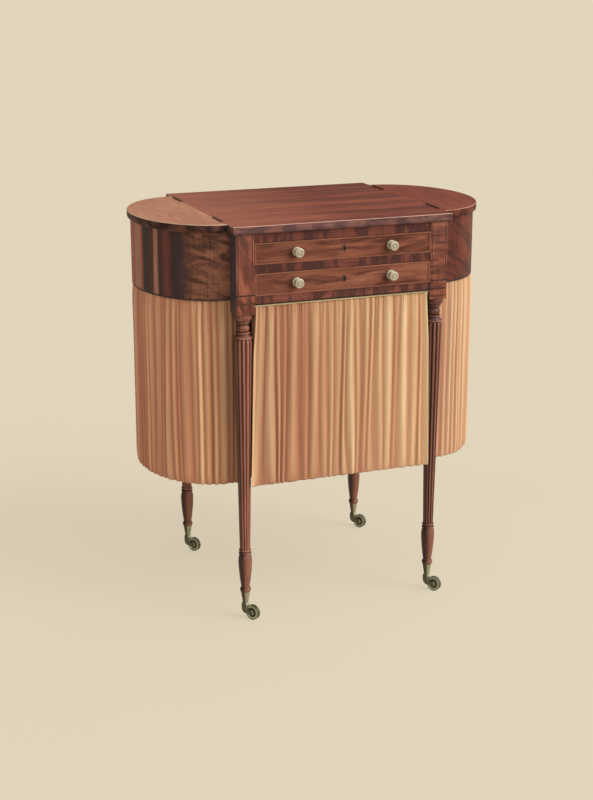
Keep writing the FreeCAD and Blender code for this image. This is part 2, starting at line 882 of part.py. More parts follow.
bag_front_inside = strip_front_plane + cloth_inset + cloth_depth
bag_back_inside = drawer_end - cloth_depth
bag_side_outline = face_of([
    (bag_front_inside, bag_floor_top),
    (bag_back_inside, bag_floor_top),
    (bag_back_inside, lower_opening_bottom),
    (drawer_back_plane, lower_opening_bottom),
    (drawer_back_plane, bag_side_top),
    (front_back_plane, bag_side_top),
    (front_back_plane, lower_rail_bottom),
    (strip_back_plane, lower_rail_bottom),
    (strip_back_plane, strip_bottom),
    (bag_front_inside, strip_bottom),
], end_point)
bag_side_outline.translate(Vector(drawer_inner_half - bag_board_thickness, 0, 0))
bag_side = bag_side_outline.extrude(Vector(bag_board_thickness, 0, 0))
save("bag_sides", bag_side, other_side(bag_side))
save("bag_floor", box(both(drawer_inner_half), (bag_front_inside, bag_back_inside),
                      (bag_floor_bottom, bag_floor_top)))

# Till: an open tray on the upper edge of the left side board
till_left = -drawer_inner_half
till_right = till_left + till_width
till = box((till_left, till_right), (front_back_plane, drawer_back_plane),
           (bag_side_top, lower_side_top))
till_room = box((till_left + till_wall, till_right - till_wall),
                (front_back_plane + till_wall, drawer_back_plane - till_wall),
                (bag_side_top + till_floor, lower_side_top + overrun))
nut_half = knob_nut_side / 2 + till_nut_gap
nut_height = (lower_opening_bottom + lower_front_top) / 2
nut_room = box((-knob_x - nut_half, -knob_x + nut_half),
               (front_back_plane, front_back_plane + knob_bolt_end + till_nut_gap),
               (bag_side_top, nut_height + nut_half))
save("till", till.cut(till_room).cut(nut_room))


# Gathered cloth: folds of a crest and a hollow, carried down through rings at several heights
def fold_marks(length, count, phase):
    """Distances along the cloth at which its uneven folds start and end."""
    widths = []
    for index in range(count):
        width = 1
        for share, turn in zip(fold_spread_shares, fold_spread_turns):
            width += share * math.sin(turn * index + phase)
        widths.append(width)
    total = sum(widths)
    marks = [0]
    for width in widths:
        marks.append(marks[-1] + length * width / total)
    return marks


def point_beside(edges, distance, inward):
    """Point on the inner side of a run of edges, at a distance along it."""
    for edge in edges:
        if distance <= edge.Length or edge is edges[-1]:
            parameter = edge.getParameterByLength(min(distance, edge.Length))
            point = edge.valueAt(parameter)
            direction = edge.tangentAt(parameter)
            return point + Vector(-direction.y, direction.x, 0) * inward
        distance -= edge.Length


def cloth_ring(edges, count, phase, height, depth_share, tuck, closing):
    """Closed ring of folds at one height, closed behind by straight lines."""
    length = sum(edge.Length for edge in edges)
    marks = fold_marks(length, count, phase)
    middle = cloth_inset + fold_depth / 2 + tuck
    swing = fold_depth / 2 * depth_share
    swayed = [marks[0]]
    for index, mark in enumerate(marks[1:-1]):
        swayed.append(mark + fold_sway * math.sin(phase + index * 2 + height / table_height * math.pi))
    swayed.append(marks[-1])
    ring = []
    for start, end in zip(swayed[:-1], swayed[1:]):
        turn = start + (end - start) * crest_width_share
        points = (
            point_beside(edges, start, middle),
            point_beside(edges, (start + turn) / 2, middle - swing),
            point_beside(edges, turn, middle),
            point_beside(edges, (turn + end) / 2, middle + swing),
            point_beside(edges, end, middle),
        )
        ring.append(Part.Arc(*points[:3]).toShape())
        ring.append(Part.Arc(*points[2:]).toShape())
    first = ring[0].valueAt(ring[0].FirstParameter)
    last = ring[-1].valueAt(ring[-1].LastParameter)
    corners = [last] + closing + [first]
    for corner, following in zip(corners[:-1], corners[1:]):
        ring.append(Part.makeLine(corner, following))
    wire = Part.Wire(ring)
    wire.translate(Vector(0, 0, height))
    return wire


def gathered(runs, count, phase, bottom, top, closing):
    """Cloth from a tight gather at its top to a tucked hem at its bottom. Each of its rings has
    its own run of edges, from the bottom up."""
    heights = (bottom, bottom + cloth_hem_rise, top - cloth_gather_drop, top)
    depth_shares = (hem_depth_share, 1, 1, gather_depth_share)
    tucks = (cloth_tuck, 0, 0, 0)
    rings = []
    for edges, height, depth_share, tuck in zip(runs, heights, depth_shares, tucks):
        rings.append(cloth_ring(edges, count, phase, height, depth_share, tuck, closing))
    return Part.makeLoft(rings, True, True)


# The front cloth turns round the front corners and goes back along the side boards. It spreads
# towards its bottom, where the legs beside it are thinner.
return_end_y = bag_front_inside + cloth_return
corner_y = strip_front_plane + drawer_side_thickness


def front_edges(spread):
    """Return, rounded corner, front, rounded corner and return of the front cloth."""
    outside = drawer_half_width + spread
    straight = drawer_inner_half + spread
    slant = drawer_side_thickness * math.sin(math.pi / 4)
    left_corner = Part.Arc(Vector(-outside, corner_y, 0),
                           Vector(-straight - slant, corner_y - slant, 0),
                           Vector(-straight, strip_front_plane, 0))
    right_corner = Part.Arc(Vector(straight, strip_front_plane, 0),
                            Vector(straight + slant, corner_y - slant, 0),
                            Vector(outside, corner_y, 0))
    return [
        Part.makeLine(Vector(-outside, return_end_y, 0), Vector(-outside, corner_y, 0)),
        left_corner.toShape(),
        Part.makeLine(Vector(-straight, strip_front_plane, 0),
                      Vector(straight, strip_front_plane, 0)),
        right_corner.toShape(),
        Part.makeLine(Vector(outside, corner_y, 0), Vector(outside, return_end_y, 0)),
    ]


front_closing = [
    Vector(drawer_inner_half, return_end_y, 0),
    Vector(drawer_inner_half, bag_front_inside, 0),
    Vector(-drawer_inner_half, bag_front_inside, 0),
    Vector(-drawer_inner_half, return_end_y, 0),
]
front_runs = [front_edges(front_spread * share) for share in front_spread_shares]
save("bag_front", gathered(front_runs, front_fold_count, 0, bag_bottom_height, strip_bottom,
                           front_closing))

back_edges = [Part.makeLine(Vector(drawer_inner_half, drawer_end + cloth_inset, 0),
                            Vector(-drawer_inner_half, drawer_end + cloth_inset, 0))]
back_runs = [back_edges] * len(front_spread_shares)
back_closing = [Vector(-drawer_inner_half, bag_back_inside, 0),
                Vector(drawer_inner_half, bag_back_inside, 0)]
save("bag_back", gathered(back_runs, back_fold_count, 1, bag_bottom_height, lower_opening_bottom,
                          back_closing))


# The wing bags stand out past the aprons, most of all just above their hems
def wing_bag(phase):
    """Bag under a wing's apron, open at the top and on the side of the straight wall."""
    runs = [wing_edges(0, wing_fullness * share) for share in wing_fullness_shares]
    sack = gathered(runs, wing_fold_count, phase, bag_bottom_height, apron_bottom, [])
    heights = (bag_floor_bottom, bag_bottom_height + cloth_hem_rise,
               apron_bottom - cloth_gather_drop, apron_bottom + overrun)
    inside = cloth_inset + cloth_depth
    outlines = [wing_outline(inside, height, wing_fullness * share)
                for height, share in zip(heights, wing_fullness_shares)]
    return sack.cut(Part.makeLoft(outlines, True, True))


save("right_bag", wing_bag(0))
save("left_bag", other_side(wing_bag(2)))
wing_floor = wing_block(cloth_inset + cloth_depth + board_play, bag_floor_bottom, bag_floor_top,
                        wing_fullness * wing_fullness_shares[0])
save("wing_floors", wing_floor, other_side(wing_floor))
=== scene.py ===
import math

import bpy
import numpy as np
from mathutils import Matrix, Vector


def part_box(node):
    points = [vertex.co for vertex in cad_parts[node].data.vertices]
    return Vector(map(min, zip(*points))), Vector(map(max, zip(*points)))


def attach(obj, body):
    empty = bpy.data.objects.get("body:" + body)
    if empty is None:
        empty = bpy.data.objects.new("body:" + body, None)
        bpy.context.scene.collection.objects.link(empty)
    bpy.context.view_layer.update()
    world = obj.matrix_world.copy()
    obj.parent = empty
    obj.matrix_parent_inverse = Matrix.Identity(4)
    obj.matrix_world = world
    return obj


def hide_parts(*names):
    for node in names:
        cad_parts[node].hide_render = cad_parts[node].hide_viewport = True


# A work table with a fixed centre board, two D-shaped wings, two drawers, gathered cloth bags
# and reeded legs on brass casters. Metres throughout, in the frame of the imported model.
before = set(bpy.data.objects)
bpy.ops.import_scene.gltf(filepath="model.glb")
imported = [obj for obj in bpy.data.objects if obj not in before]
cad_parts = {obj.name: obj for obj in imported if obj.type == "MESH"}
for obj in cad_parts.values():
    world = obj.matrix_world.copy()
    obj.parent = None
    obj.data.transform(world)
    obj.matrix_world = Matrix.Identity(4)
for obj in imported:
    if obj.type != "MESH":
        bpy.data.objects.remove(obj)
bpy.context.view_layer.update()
scene = bpy.context.scene


# Camera at the photograph's place, as the corners of the top and the feet gave it. The picture is
# 593 by 800, and its long side is the sensor's.
CAMERA_PLACE = (-1.0372, -2.6437, 1.1913)
CAMERA_YAW = 21.1
CAMERA_PITCH = -16.42
FOCAL_PIXELS = 1515.6
PICTURE_LONG_SIDE = 800
SENSOR_WIDTH = 36
VIEW_REACH = 120


def make_camera():
    """Camera turned right by the yaw and up by the pitch. Its lens is to the sensor's width as the
    focal length in pixels is to the picture's long side."""
    data = bpy.data.cameras.new("camera")
    data.sensor_width = SENSOR_WIDTH
    data.lens = FOCAL_PIXELS / PICTURE_LONG_SIDE * SENSOR_WIDTH
    data.clip_end = VIEW_REACH
    camera = bpy.data.objects.new("camera", data)
    camera.location = CAMERA_PLACE
    camera.rotation_euler = (math.radians(90 + CAMERA_PITCH), 0, -math.radians(CAMERA_YAW))
    scene.collection.objects.link(camera)
    scene.camera = camera


make_camera()


# Floor and light: one wide pale cream floor, a broad soft sun from the front right and a sky that
# is brightest on the same side. The helpers for meshes and materials start here.
MM = 0.001
FLOOR_HALF = 60
FLOOR_GLOW = 0.76
FLOOR_LEVEL = 0.856
GLOW_CAST = 0.643
BACKDROP = (227, 214, 186)
SKY_TURN = -0.4
SKY_LEAST, SKY_MOST = 0.18, 1.26


def add_object(name, points, faces, material, crease=40):
    """Mesh object from an array of points and an array of faces, smooth up to a crease angle."""
    mesh = bpy.data.meshes.new(name)
    mesh.from_pydata(np.asarray(points, float).reshape(-1, 3).tolist(), [],
                     [list(face) for face in faces])
    mesh.validate()
    mesh.polygons.foreach_set("use_smooth", np.ones(len(mesh.polygons), bool))
    mesh.set_sharp_from_angle(angle=math.radians(crease))
    mesh.materials.append(material)
    piece = bpy.data.objects.new(name, mesh)
    scene.collection.objects.link(piece)
    return piece


def colour(red, green, blue):
    """Linear colour from the red, green and blue of a display, each up to 255."""
    levels = np.array([red, green, blue]) / 255
    linear = np.where(levels <= 0.04045, levels / 12.92, ((levels + 0.055) / 1.055) ** 2.4)
    return tuple(float(value) for value in linear)


class Shader:
    """A new material and short ways to add nodes to it."""

    def __init__(self, name, rough=0.5, specular=0.5, **settings):
        self.material = bpy.data.materials.new(name)
        self.material.use_nodes = True
        self.nodes = self.material.node_tree.nodes
        self.links = self.material.node_tree.links
        self.surface = self.nodes["Principled BSDF"]
        coordinates = self.nodes.new("ShaderNodeTexCoord")
        self.place = coordinates.outputs["Object"]
        self.normal = coordinates.outputs["Normal"]
        self.set("Roughness", rough)
        self.set("Specular IOR Level", specular)
        for key, value in settings.items():
            self.set(key.replace("_", " ").title(), value)

    def put(self, socket, value):
        if isinstance(value, bpy.types.NodeSocket):
            self.links.new(value, socket)
        else:
            socket.default_value = value

    def set(self, name, value):
        self.put(self.surface.inputs[name], value)

    def add(self, kind, output=0, **inputs):
        """Node of a kind with its inputs; underscores in their names are spaces."""
        node = self.nodes.new("ShaderNode" + kind)
        for key, value in inputs.items():
            self.put(node.inputs[key.replace("_", " ")], value)
        return node.outputs[output]

    def stretched(self, scale, turn=(0, 0, 0), shift=(0, 0, 0)):
        """Object coordinates turned and scaled along each axis, to draw a pattern into grain."""
        turned = self.add("Mapping", Vector=self.place, Rotation=turn)
        return self.add("Mapping", Vector=turned, Scale=scale, Location=shift)

    def noise(self, vector, detail=4.0, rough=0.55, twist=0.0):
        return self.add("TexNoise", Vector=vector, Scale=1.0, Detail=detail, Roughness=rough,
                        Distortion=twist)

    def axis(self, index):
        return self.add("SeparateXYZ", output=index, Vector=self.place)

    def attribute(self, name):
        share = self.add("Attribute", output=2)
        share.node.attribute_name = name
        return share

    def math(self, operation, first, second=0.5):
        node = self.nodes.new("ShaderNodeMath")
        node.operation = operation
        self.put(node.inputs[0], first)
        self.put(node.inputs[1], second)
        return node.outputs[0]

    def times(self, first, second):
        return self.math("MULTIPLY", first, second)

    def vectors(self, operation, first, second, output="Vector"):
        """Result of one sum on two places or directions."""
        node = self.nodes.new("ShaderNodeVectorMath")
        node.operation = operation
        self.put(node.inputs[0], first)
        self.put(node.inputs[1], second)
        return node.outputs[output]

    def painted_light_by_side(self, direction, start, most, reach=0.4):
        """Share that grows to most as the surface turns away from a direction, over a reach from
        a start on. It carries painted shade where a surface turns away from the light, and a
        painted highlight at the front of a foot."""
        facing = self.vectors("DOT_PRODUCT", self.normal, direction, output="Value")
        return self.add("MapRange", Value=facing, From_Min=start, From_Max=start - reach,
                        To_Max=most)

    def within(self, value, low, high, soft=0.3 * MM):
        """One between two limits and nothing outside, with soft ends."""
        rise = self.add("MapRange", Value=value, From_Min=low - soft, From_Max=low + soft)
        fall = self.add("MapRange", Value=value, From_Min=high + soft, From_Max=high - soft)
        return self.times(rise, fall)

    def ramp(self, factor, stops):
        """Colours or greys at places from 0 to 1."""
        node = self.nodes.new("ShaderNodeValToRGB")
        elements = node.color_ramp.elements
        while len(elements) < len(stops):
            elements.new(0.5)
        for element, (place, tone) in zip(elements, stops):
            element.position = place
            if isinstance(tone, (int, float)):
                tone = (tone, tone, tone)
            element.color = (*tone, 1)
        self.put(node.inputs["Fac"], factor)
        return node.outputs["Color"]

    def mix(self, factor, first, second, blend="MIX"):
        node = self.nodes.new("ShaderNodeMix")
        node.data_type = "RGBA"
        node.blend_type = blend
        self.put(node.inputs[0], factor)
        for socket, value in ((node.inputs[6], first), (node.inputs[7], second)):
            self.put(socket, (*value, 1) if isinstance(value, tuple) else value)
        return node.outputs[2]

    def bump(self, height, strength, distance):
        self.set("Normal", self.add("Bump", Height=height, Strength=strength, Distance=distance))


def make_floor():
    """Wide sheet of cream paper. It glows a little, so that shadows on it stay faint, and a
    third of the glow is for the eye only and throws no light on the table."""
    shader = Shader("floor_paper", rough=0.95, specular=0.0)
    cloud = shader.noise(shader.stretched((0.7, 0.7, 0.7)), detail=3)
    paper = shader.ramp(cloud, [(0.3, colour(237, 225, 199)), (0.7, colour(239, 227, 201))])
    shader.set("Base Color", shader.mix(1.0, paper, (1 - FLOOR_GLOW,) * 3, blend="MULTIPLY"))
    shader.set("Emission Color", paper)
    share = shader.add("MapRange", Value=shader.add("LightPath"), To_Min=GLOW_CAST)
    shader.set("Emission Strength", shader.times(share, FLOOR_GLOW * FLOOR_LEVEL))
    corners = np.array([(-1, -1, 0), (1, -1, 0), (1, 1, 0), (-1, 1, 0)]) * FLOOR_HALF
    floor = add_object("floor", corners, [(0, 1, 2, 3)], shader.material)


def make_sky(towards, tint):
    """Sky whose strength grows with the cosine of the turn from its far side to one direction.
    Seen past the end of the floor it has the floor's own colour."""
    scene.world = bpy.data.worlds.new("sky")
    scene.world.use_nodes = True
    nodes, links = scene.world.node_tree.nodes, scene.world.node_tree.links
    backdrop = nodes.new("ShaderNodeBackground")
    backdrop.inputs["Color"].default_value = (*colour(*BACKDROP), 1)
    either = nodes.new("ShaderNodeMixShader")
    links.new(nodes.new("ShaderNodeLightPath").outputs["Is Camera Ray"], either.inputs[0])
    links.new(nodes["Background"].outputs[0], either.inputs[1])
    links.new(backdrop.outputs[0], either.inputs[2])
    links.new(either.outputs[0], nodes["World Output"].inputs["Surface"])
    facing = nodes.new("ShaderNodeVectorMath")
    facing.operation = "DOT_PRODUCT"
    facing.inputs[1].default_value = towards
    links.new(nodes.new("ShaderNodeTexCoord").outputs["Generated"], facing.inputs[0])
    strength = nodes.new("ShaderNodeMapRange")
    for key, value in (("From Min", SKY_TURN), ("From Max", 1), ("To Min", SKY_LEAST),
                       ("To Max", SKY_MOST)):
        strength.inputs[key].default_value = value
    links.new(facing.outputs["Value"], strength.inputs["Value"])
    links.new(strength.outputs["Result"], nodes["Background"].inputs["Strength"])
    nodes["Background"].inputs["Color"].default_value = tint


def make_sun(towards, strength, spread, tint):
    """Distant lamp that stands in a direction, as wide as its spread in degrees."""
    data = bpy.data.lights.new("key_light", "SUN")
    data.energy = strength
    data.angle = math.radians(spread)
    data.color = tint
    light = bpy.data.objects.new("key_light", data)
    across, along, up = towards
    light.rotation_euler = (math.atan2(math.hypot(across, along), up), 0,
                            math.atan2(across, -along))
    light.location = towards
    scene.collection.objects.link(light)


make_floor()
make_sky(towards=(0.75, -0.55, 0.37), tint=(1, 0.965, 0.90, 1))
make_sun(towards=(0.62, -0.55, 0.52), strength=1.62, spread=34, tint=(1, 0.955, 0.895))
scene.view_settings.view_transform = "Standard"


# Legs: each is one length of mahogany, a square block with inlaid lines at its front, a turned
# capital, a tapering shaft of twelve reeds and a turned foot that ends in the caster's cup.
LEG_SIDE = 34 * MM
LEG_PLACES = {"front_left": (-1, -1), "front_right": (1, -1), "back_left": (-1, 1),
              "back_right": (1, 1)}
LEG_X = 187 * MM
LEG_Y = 182 * MM
CASE_SHIFT = 5.5 * MM
UNDERSIDE = 725 * MM
BLOCK_BOTTOM = 581.5 * MM
CUP_TOP = 52 * MM
FOOT_TOP = 131 * MM
SOFT_EDGE = 0.4 * MM
GROOVE_TOP, GROOVE_BOTTOM = 602.6 * MM, 600.6 * MM
GROOVE_DEPTH = 0.965
SIDE_LINE_X = 12.8 * MM, 14.4 * MM
SIDE_LINE = 617 * MM, 722 * MM
FOOT_LINE = 615.4 * MM, 618 * MM
GROOVE_LINE = 600 * MM, 603 * MM
BLOCK_TONES = (96, 48, 37), (132, 70, 53), (164, 95, 71)
REEDS = 12
REED_HOLLOW = 0.86
DOME_LENGTH, DOME_START = 0.018, 0.78
RING_LIGHT_REACH = 4 * MM
LEG_COLUMNS = 144
LIGHT_SIDE = (0.75, -0.66, 0)
FOOT_HIGHLIGHT_AWAY_FROM = (-0.2, 0.98, 0)


def grid_faces(rows, columns, round_it=False):
    """Quads over a grid of points numbered row by row: each joins a point, its right neighbour
    and the two below them. Round it joins the last column to the first."""
    row = np.arange(rows - 1)[:, None]
    column = np.arange(columns if round_it else columns - 1)[None, :]
    following = (column + 1) % columns
    corners = (row * columns + column, row * columns + following,
               (row + 1) * columns + following, (row + 1) * columns + column)
    return np.stack([corner.reshape(-1) for corner in corners], axis=1)


def grown(value, start, end):
    """Share that grows evenly from nothing at a start to one at an end."""
    return np.clip((value - start) / (end - start), 0, 1)


def add_layer(piece, name, values):
    """One number at each point of a mesh, for its material to read."""
    layer = piece.data.attributes.new(name, "FLOAT", "POINT")
    layer.data.foreach_set("value", np.asarray(values, np.float32).reshape(-1))


def wood(name, dark, middle, light, grain="x", streak=26, turn=(0, 0, 0), contrast=1.0, clouds=0.4,
         figure=None, rough=0.42, coat=0.04, shine=0.16):
    """Polished wood: streaks drawn out along the grain between three tones, darker clouds,
    an own figure, and fine dark pores that are also a bump."""
    shader = Shader(name, rough=rough, specular=shine, coat_weight=coat, coat_roughness=0.25)
    along = np.array([axis == grain for axis in "xyz"])
    long, fine = np.where(along, 2.4, streak), np.where(along, 16.0, 520.0)
    streaks = shader.noise(shader.stretched(long, turn), detail=6, rough=0.62, twist=0.4)
    half = 0.24 / contrast
    tone = shader.ramp(streaks, [(0.5 - half, dark), (0.5, middle), (0.5 + half, light)])
    cloud = shader.noise(shader.stretched((6, 6, 6), shift=(3, 1, 2)), detail=3)
    tone = shader.mix(shader.ramp(cloud, [(0.40, 0.0), (0.72, clouds)]), tone, dark)
    if figure is not None:
        tone = figure(shader, tone)
    pores = shader.noise(shader.stretched(fine, turn), detail=2, rough=0.7)
    closed = shader.ramp(pores, [(0.38, 0.0), (0.56, 1.0)])
    open_share = shader.times(shader.math("SUBTRACT", 1.0, closed), 0.35)
    tone = shader.mix(open_share, tone, tuple(value * 0.4 for value in dark))
    shader.set("Base Color", tone)
    shader.set("Roughness", shader.ramp(pores, [(0.3, rough + 0.16), (0.6, rough)]))
    shader.bump(closed, 0.10, 0.2 * MM)
    return shader.material


# Leg profile: heights as shares of the turned length from its top, and radii as shares of half
# the block's side. A parabola runs through each three of them.
LEG_PARTS = (
    ((0.000, 0.96), (0.003, 0.98), (0.006, 0.99)),
    ((0.006, 0.99), (0.013, 1.00), (0.0195, 0.92)),
    ((0.0195, 0.86), (0.022, 0.82), (0.0245, 0.70)),
    ((0.0245, 0.76), (0.0275, 0.79), (0.0300, 0.74)),
    ((0.0305, 0.62), (0.036, 0.615), (0.041, 0.665)),
    ((0.041, 0.665), (0.050, 0.735), (0.0600, 0.62)),
    ((0.0605, 0.68), (0.0640, 0.80), (0.0685, 0.69)),
    ((0.0695, 0.72), (0.0745, 0.82), (0.0790, 0.97)),
    ((0.0790, 0.97), (0.0815, 1.00), (0.0835, 0.95)),
)
FOOT_PARTS = (
    ((0.840, 0.57), (0.8435, 0.68), (0.847, 0.61)),
    ((0.8475, 0.56), (0.8495, 0.555), (0.851, 0.59)),
    ((0.851, 0.61), (0.8545, 0.70), (0.858, 0.63)),
    ((0.858, 0.61), (0.873, 0.725), (0.892, 0.745)),
    ((0.892, 0.745), (0.9326, 0.655), (0.972, 0.505)),
    ((0.972, 0.505), (0.978, 0.475), (0.985, 0.49)),
    ((0.985, 0.53), (0.9925, 0.605), (1.000, 0.515)),
)
SHAFT_TOP, SHAFT_BOTTOM = 0.0835, 0.840
SHAFT_TOP_RADIUS, SHAFT_BOTTOM_RADIUS = 0.985, 0.57


def parabolas(parts, count=7):
    """Rows of a profile: each part is the parabola through its three points."""
    step = np.linspace(0, 1, count)[:, None]
    first, middle, last = np.array(parts).transpose(1, 0, 2)[:, :, None, :]
    control = 2 * middle - (first + last) / 2
    curves = (1 - step) ** 2 * first + 2 * step * (1 - step) * control + step ** 2 * last
    return curves.reshape(-1, 2)


def reed_edge(angle, hollow):
    """Share of the full radius at each angle round a ring of reeds. A reed is a circle whose
    centre lies off the leg's axis, so that it touches the full radius at its crest and the
    hollow's share of it where it meets the next reed."""
    half = math.pi / REEDS
    off = (1 - hollow ** 2) / (2 * (1 - hollow * math.cos(half)))
    from_crest = (angle % (2 * half)) - half
    return off * np.cos(from_crest) + np.sqrt((1 - off) ** 2 - (off * np.sin(from_crest)) ** 2)


def leg_surface():
    """Rings of a leg about its own axis: height, radius share of a circle, of a square and of
    reeds. The point at an angle is the ring's radius times the mixed outline. The painted
    highlight is higher where a ring stands out from the mean radius around it, and lower in the
    grooves, which get painted shade. On the reeds it follows their crests."""
    turned = BLOCK_BOTTOM - CUP_TOP
    half = LEG_SIDE / 2
    angle = np.arange(LEG_COLUMNS) * 2 * math.pi / LEG_COLUMNS
    square = (np.abs(np.cos(angle)) ** 70 + np.abs(np.sin(angle)) ** 70) ** (-1 / 70)
    reeds = reed_edge(angle, REED_HOLLOW)
    block_rows = np.array([
        (UNDERSIDE, 0.0), (UNDERSIDE, 0.995), (UNDERSIDE - SOFT_EDGE, 1.0),
        (GROOVE_TOP, 1.0), (GROOVE_TOP - SOFT_EDGE, GROOVE_DEPTH),
        (GROOVE_BOTTOM + SOFT_EDGE, GROOVE_DEPTH), (GROOVE_BOTTOM, 1.0),
        (BLOCK_BOTTOM + 2 * SOFT_EDGE, 1.0), (BLOCK_BOTTOM, 0.99), (BLOCK_BOTTOM, 0.72)])
    capital = parabolas(LEG_PARTS)
    foot = parabolas(FOOT_PARTS)
    down = np.concatenate([[0.0, 0.0012, 0.003, 0.006, 0.010, 0.014, DOME_LENGTH],
                           np.linspace(0.024, 1, 24)])
    dome = np.sqrt(1 - (1 - grown(down, 0, DOME_LENGTH)) ** 2)
    dome = DOME_START + (1 - DOME_START) * dome
    shaft_share = (SHAFT_TOP_RADIUS + (SHAFT_BOTTOM_RADIUS - SHAFT_TOP_RADIUS) * down) * dome
    shaft = np.stack([SHAFT_TOP + (SHAFT_BOTTOM - SHAFT_TOP) * down, shaft_share], axis=1)
    spigot = np.array([(1.0, 0.436), (1.0235, 0.31), (1.0235, 0.0)])
    turned_rows = np.concatenate([capital, shaft, foot, spigot])
    heights = np.concatenate([block_rows[:, 0], BLOCK_BOTTOM - turned_rows[:, 0] * turned])
    radii = np.concatenate([block_rows[:, 1], turned_rows[:, 1]]) * half
    kind = np.zeros((len(heights), 3))
    kind[:len(block_rows), 0] = 1
    first_shaft = len(block_rows) + len(capital)
    kind[len(block_rows):, 1] = 1
    kind[first_shaft:first_shaft + len(shaft)] = (0, 0, 1)
    outline = kind[:, :1] * square + kind[:, 1:2] + kind[:, 2:] * reeds
    radius = radii[:, None] * outline
    points = np.stack([radius * np.cos(angle), radius * np.sin(angle),
                       np.broadcast_to(heights[:, None], radius.shape)], axis=2)
    crest = grown(reeds, REED_HOLLOW, 1)
    near = np.exp(-((heights[:, None] - heights) / RING_LIGHT_REACH) ** 2) * np.gradient(heights)
    around = near @ (radii / half) / near.sum(axis=1)
    # Painted highlight on the crests of the rings and painted shade in their grooves.
    ring_light = np.clip(0.66 + (radii / half - around) * 5, 0, 0.96)
    ring_light[:len(block_rows)] = 0.7
    return points, np.where(kind[:, 2:] > 0, crest[None, :], ring_light[:, None])


def leg_wood(name, centre, tones, figure_turn, foot_tone):
    """Dark red wood with painted highlights on the crests and painted shade in the hollows of the
    reeds and rings, and painted shade on the side turned away from the light. The foot has a tone
    of its own, with a painted highlight at its front and deeper painted shade on its far side. The
    block's left side is painted in shade, and its front is veneered between dark lines."""
    def figure(shader, tone):
        reed = shader.attribute("reed")
        # Painted shade in the hollows of the reeds and rings and painted highlights on their
        # crests.
        tone = shader.mix(shader.ramp(reed, [(0.22, 0.92), (0.66, 0.0)]), tone, colour(38, 22, 22))
        tone = shader.mix(shader.ramp(reed, [(0.84, 0.0), (1.0, 0.62)]), tone,
                          colour(190, 130, 108))
        # Painted shade on the side of the leg turned away from the light.
        tone = shader.mix(shader.painted_light_by_side(LIGHT_SIDE, 0.15, 0.6), tone, colour(48, 37, 40))
        foot = shader.within(shader.axis(2), -1, FOOT_TOP, 1 * MM)
        tone = shader.mix(shader.times(foot, 0.5), tone, foot_tone)
        # A painted highlight at the front of the foot.
        foot_highlight = shader.painted_light_by_side(FOOT_HIGHLIGHT_AWAY_FROM, -0.62, 0.5)
        tone = shader.mix(shader.times(foot, foot_highlight), tone, colour(172, 116, 94))
        # Deeper painted shade on the foot's far side from the light.
        shade = shader.times(foot, shader.painted_light_by_side(LIGHT_SIDE, 0.36, 0.66))
        tone = shader.mix(shade, tone, colour(50, 33, 30))
        across = shader.math("SUBTRACT", shader.axis(0), centre[0])
        along = shader.math("SUBTRACT", shader.axis(1), centre[1])
        up = shader.axis(2)
        flame = shader.noise(shader.stretched((90, 90, 22), turn=figure_turn), detail=4, twist=0.8)
        veneer = shader.ramp(flame, [(place, colour(*front)) for place, front in
                                     zip((0.36, 0.5, 0.64), BLOCK_TONES)])
        block = shader.within(up, BLOCK_BOTTOM, UNDERSIDE, 0.2 * MM)
        at_front, shaded_left = (shader.within(way, -1, -LEG_SIDE / 2 + 0.5 * MM, 0.2 * MM)
                             for way in (along, across))
        # Painted shade on the left side of the block.
        tone = shader.mix(shader.times(block, shaded_left), tone, colour(80, 75, 88))
        tone = shader.mix(shader.times(block, at_front), tone, veneer)
        sides = shader.within(shader.math("ABSOLUTE", across), *SIDE_LINE_X, 0.2 * MM)
        sides = shader.times(sides, shader.within(up, *SIDE_LINE))
        lower = shader.within(up, *FOOT_LINE)
        groove = shader.within(up, *GROOVE_LINE)
        lines = shader.math("MAXIMUM", sides, shader.math("MAXIMUM", lower, groove))
        lines = shader.times(lines, at_front)
        return shader.mix(shader.times(lines, 0.92), tone, colour(50, 31, 29))

    return wood(name, *tones, grain="z", streak=90, clouds=0.2, figure=figure, rough=0.36, coat=0.3,
                shine=0.25)


def make_leg(corner):
    """The leg's surface at its own corner of the case, in its own tones."""
    across, along = LEG_PLACES[corner]
    centre = (across * LEG_X, along * LEG_Y + CASE_SHIFT)
    points, reed = LEG_SURFACE
    placed = points + (*centre, 0)
    turn = (0, 0.25, 0) if corner == "front_left" else (0, math.pi / 2, 0)
    tones = (colour(103, 55, 45), colour(154, 92, 74), colour(186, 121, 99))
    foot_tone = colour(84, 48, 40)
    if corner == "front_right":
        tones = (colour(70, 36, 31), colour(104, 57, 47), colour(128, 74, 60))
        foot_tone = colour(112, 66, 52)
    material = leg_wood(corner + "_leg_mahogany", centre, tones, turn, foot_tone)
    faces = grid_faces(*points.shape[:2], round_it=True)[:, ::-1]
    leg = add_object(corner + "_turned_leg", placed, faces, material, crease=34)
    add_layer(leg, "reed", reed)
    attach(leg, "case")
    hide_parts(corner + "_leg")


LEG_SURFACE = leg_surface()
for corner in LEG_PLACES:
    make_leg(corner)


# Casters: a tapered cup, a forked horn that swivels under it, an axle and a dished wheel, all
# cast and turned brass, brown with age and brighter where it is rubbed.
TARNISH_AND_SHADE = colour(46, 41, 31)
WHEEL_RADIUS = 14 * MM
AXLE_TURN = math.radians(58)
AXLE_LINE = (math.sin(AXLE_TURN), math.cos(AXLE_TURN), 0)


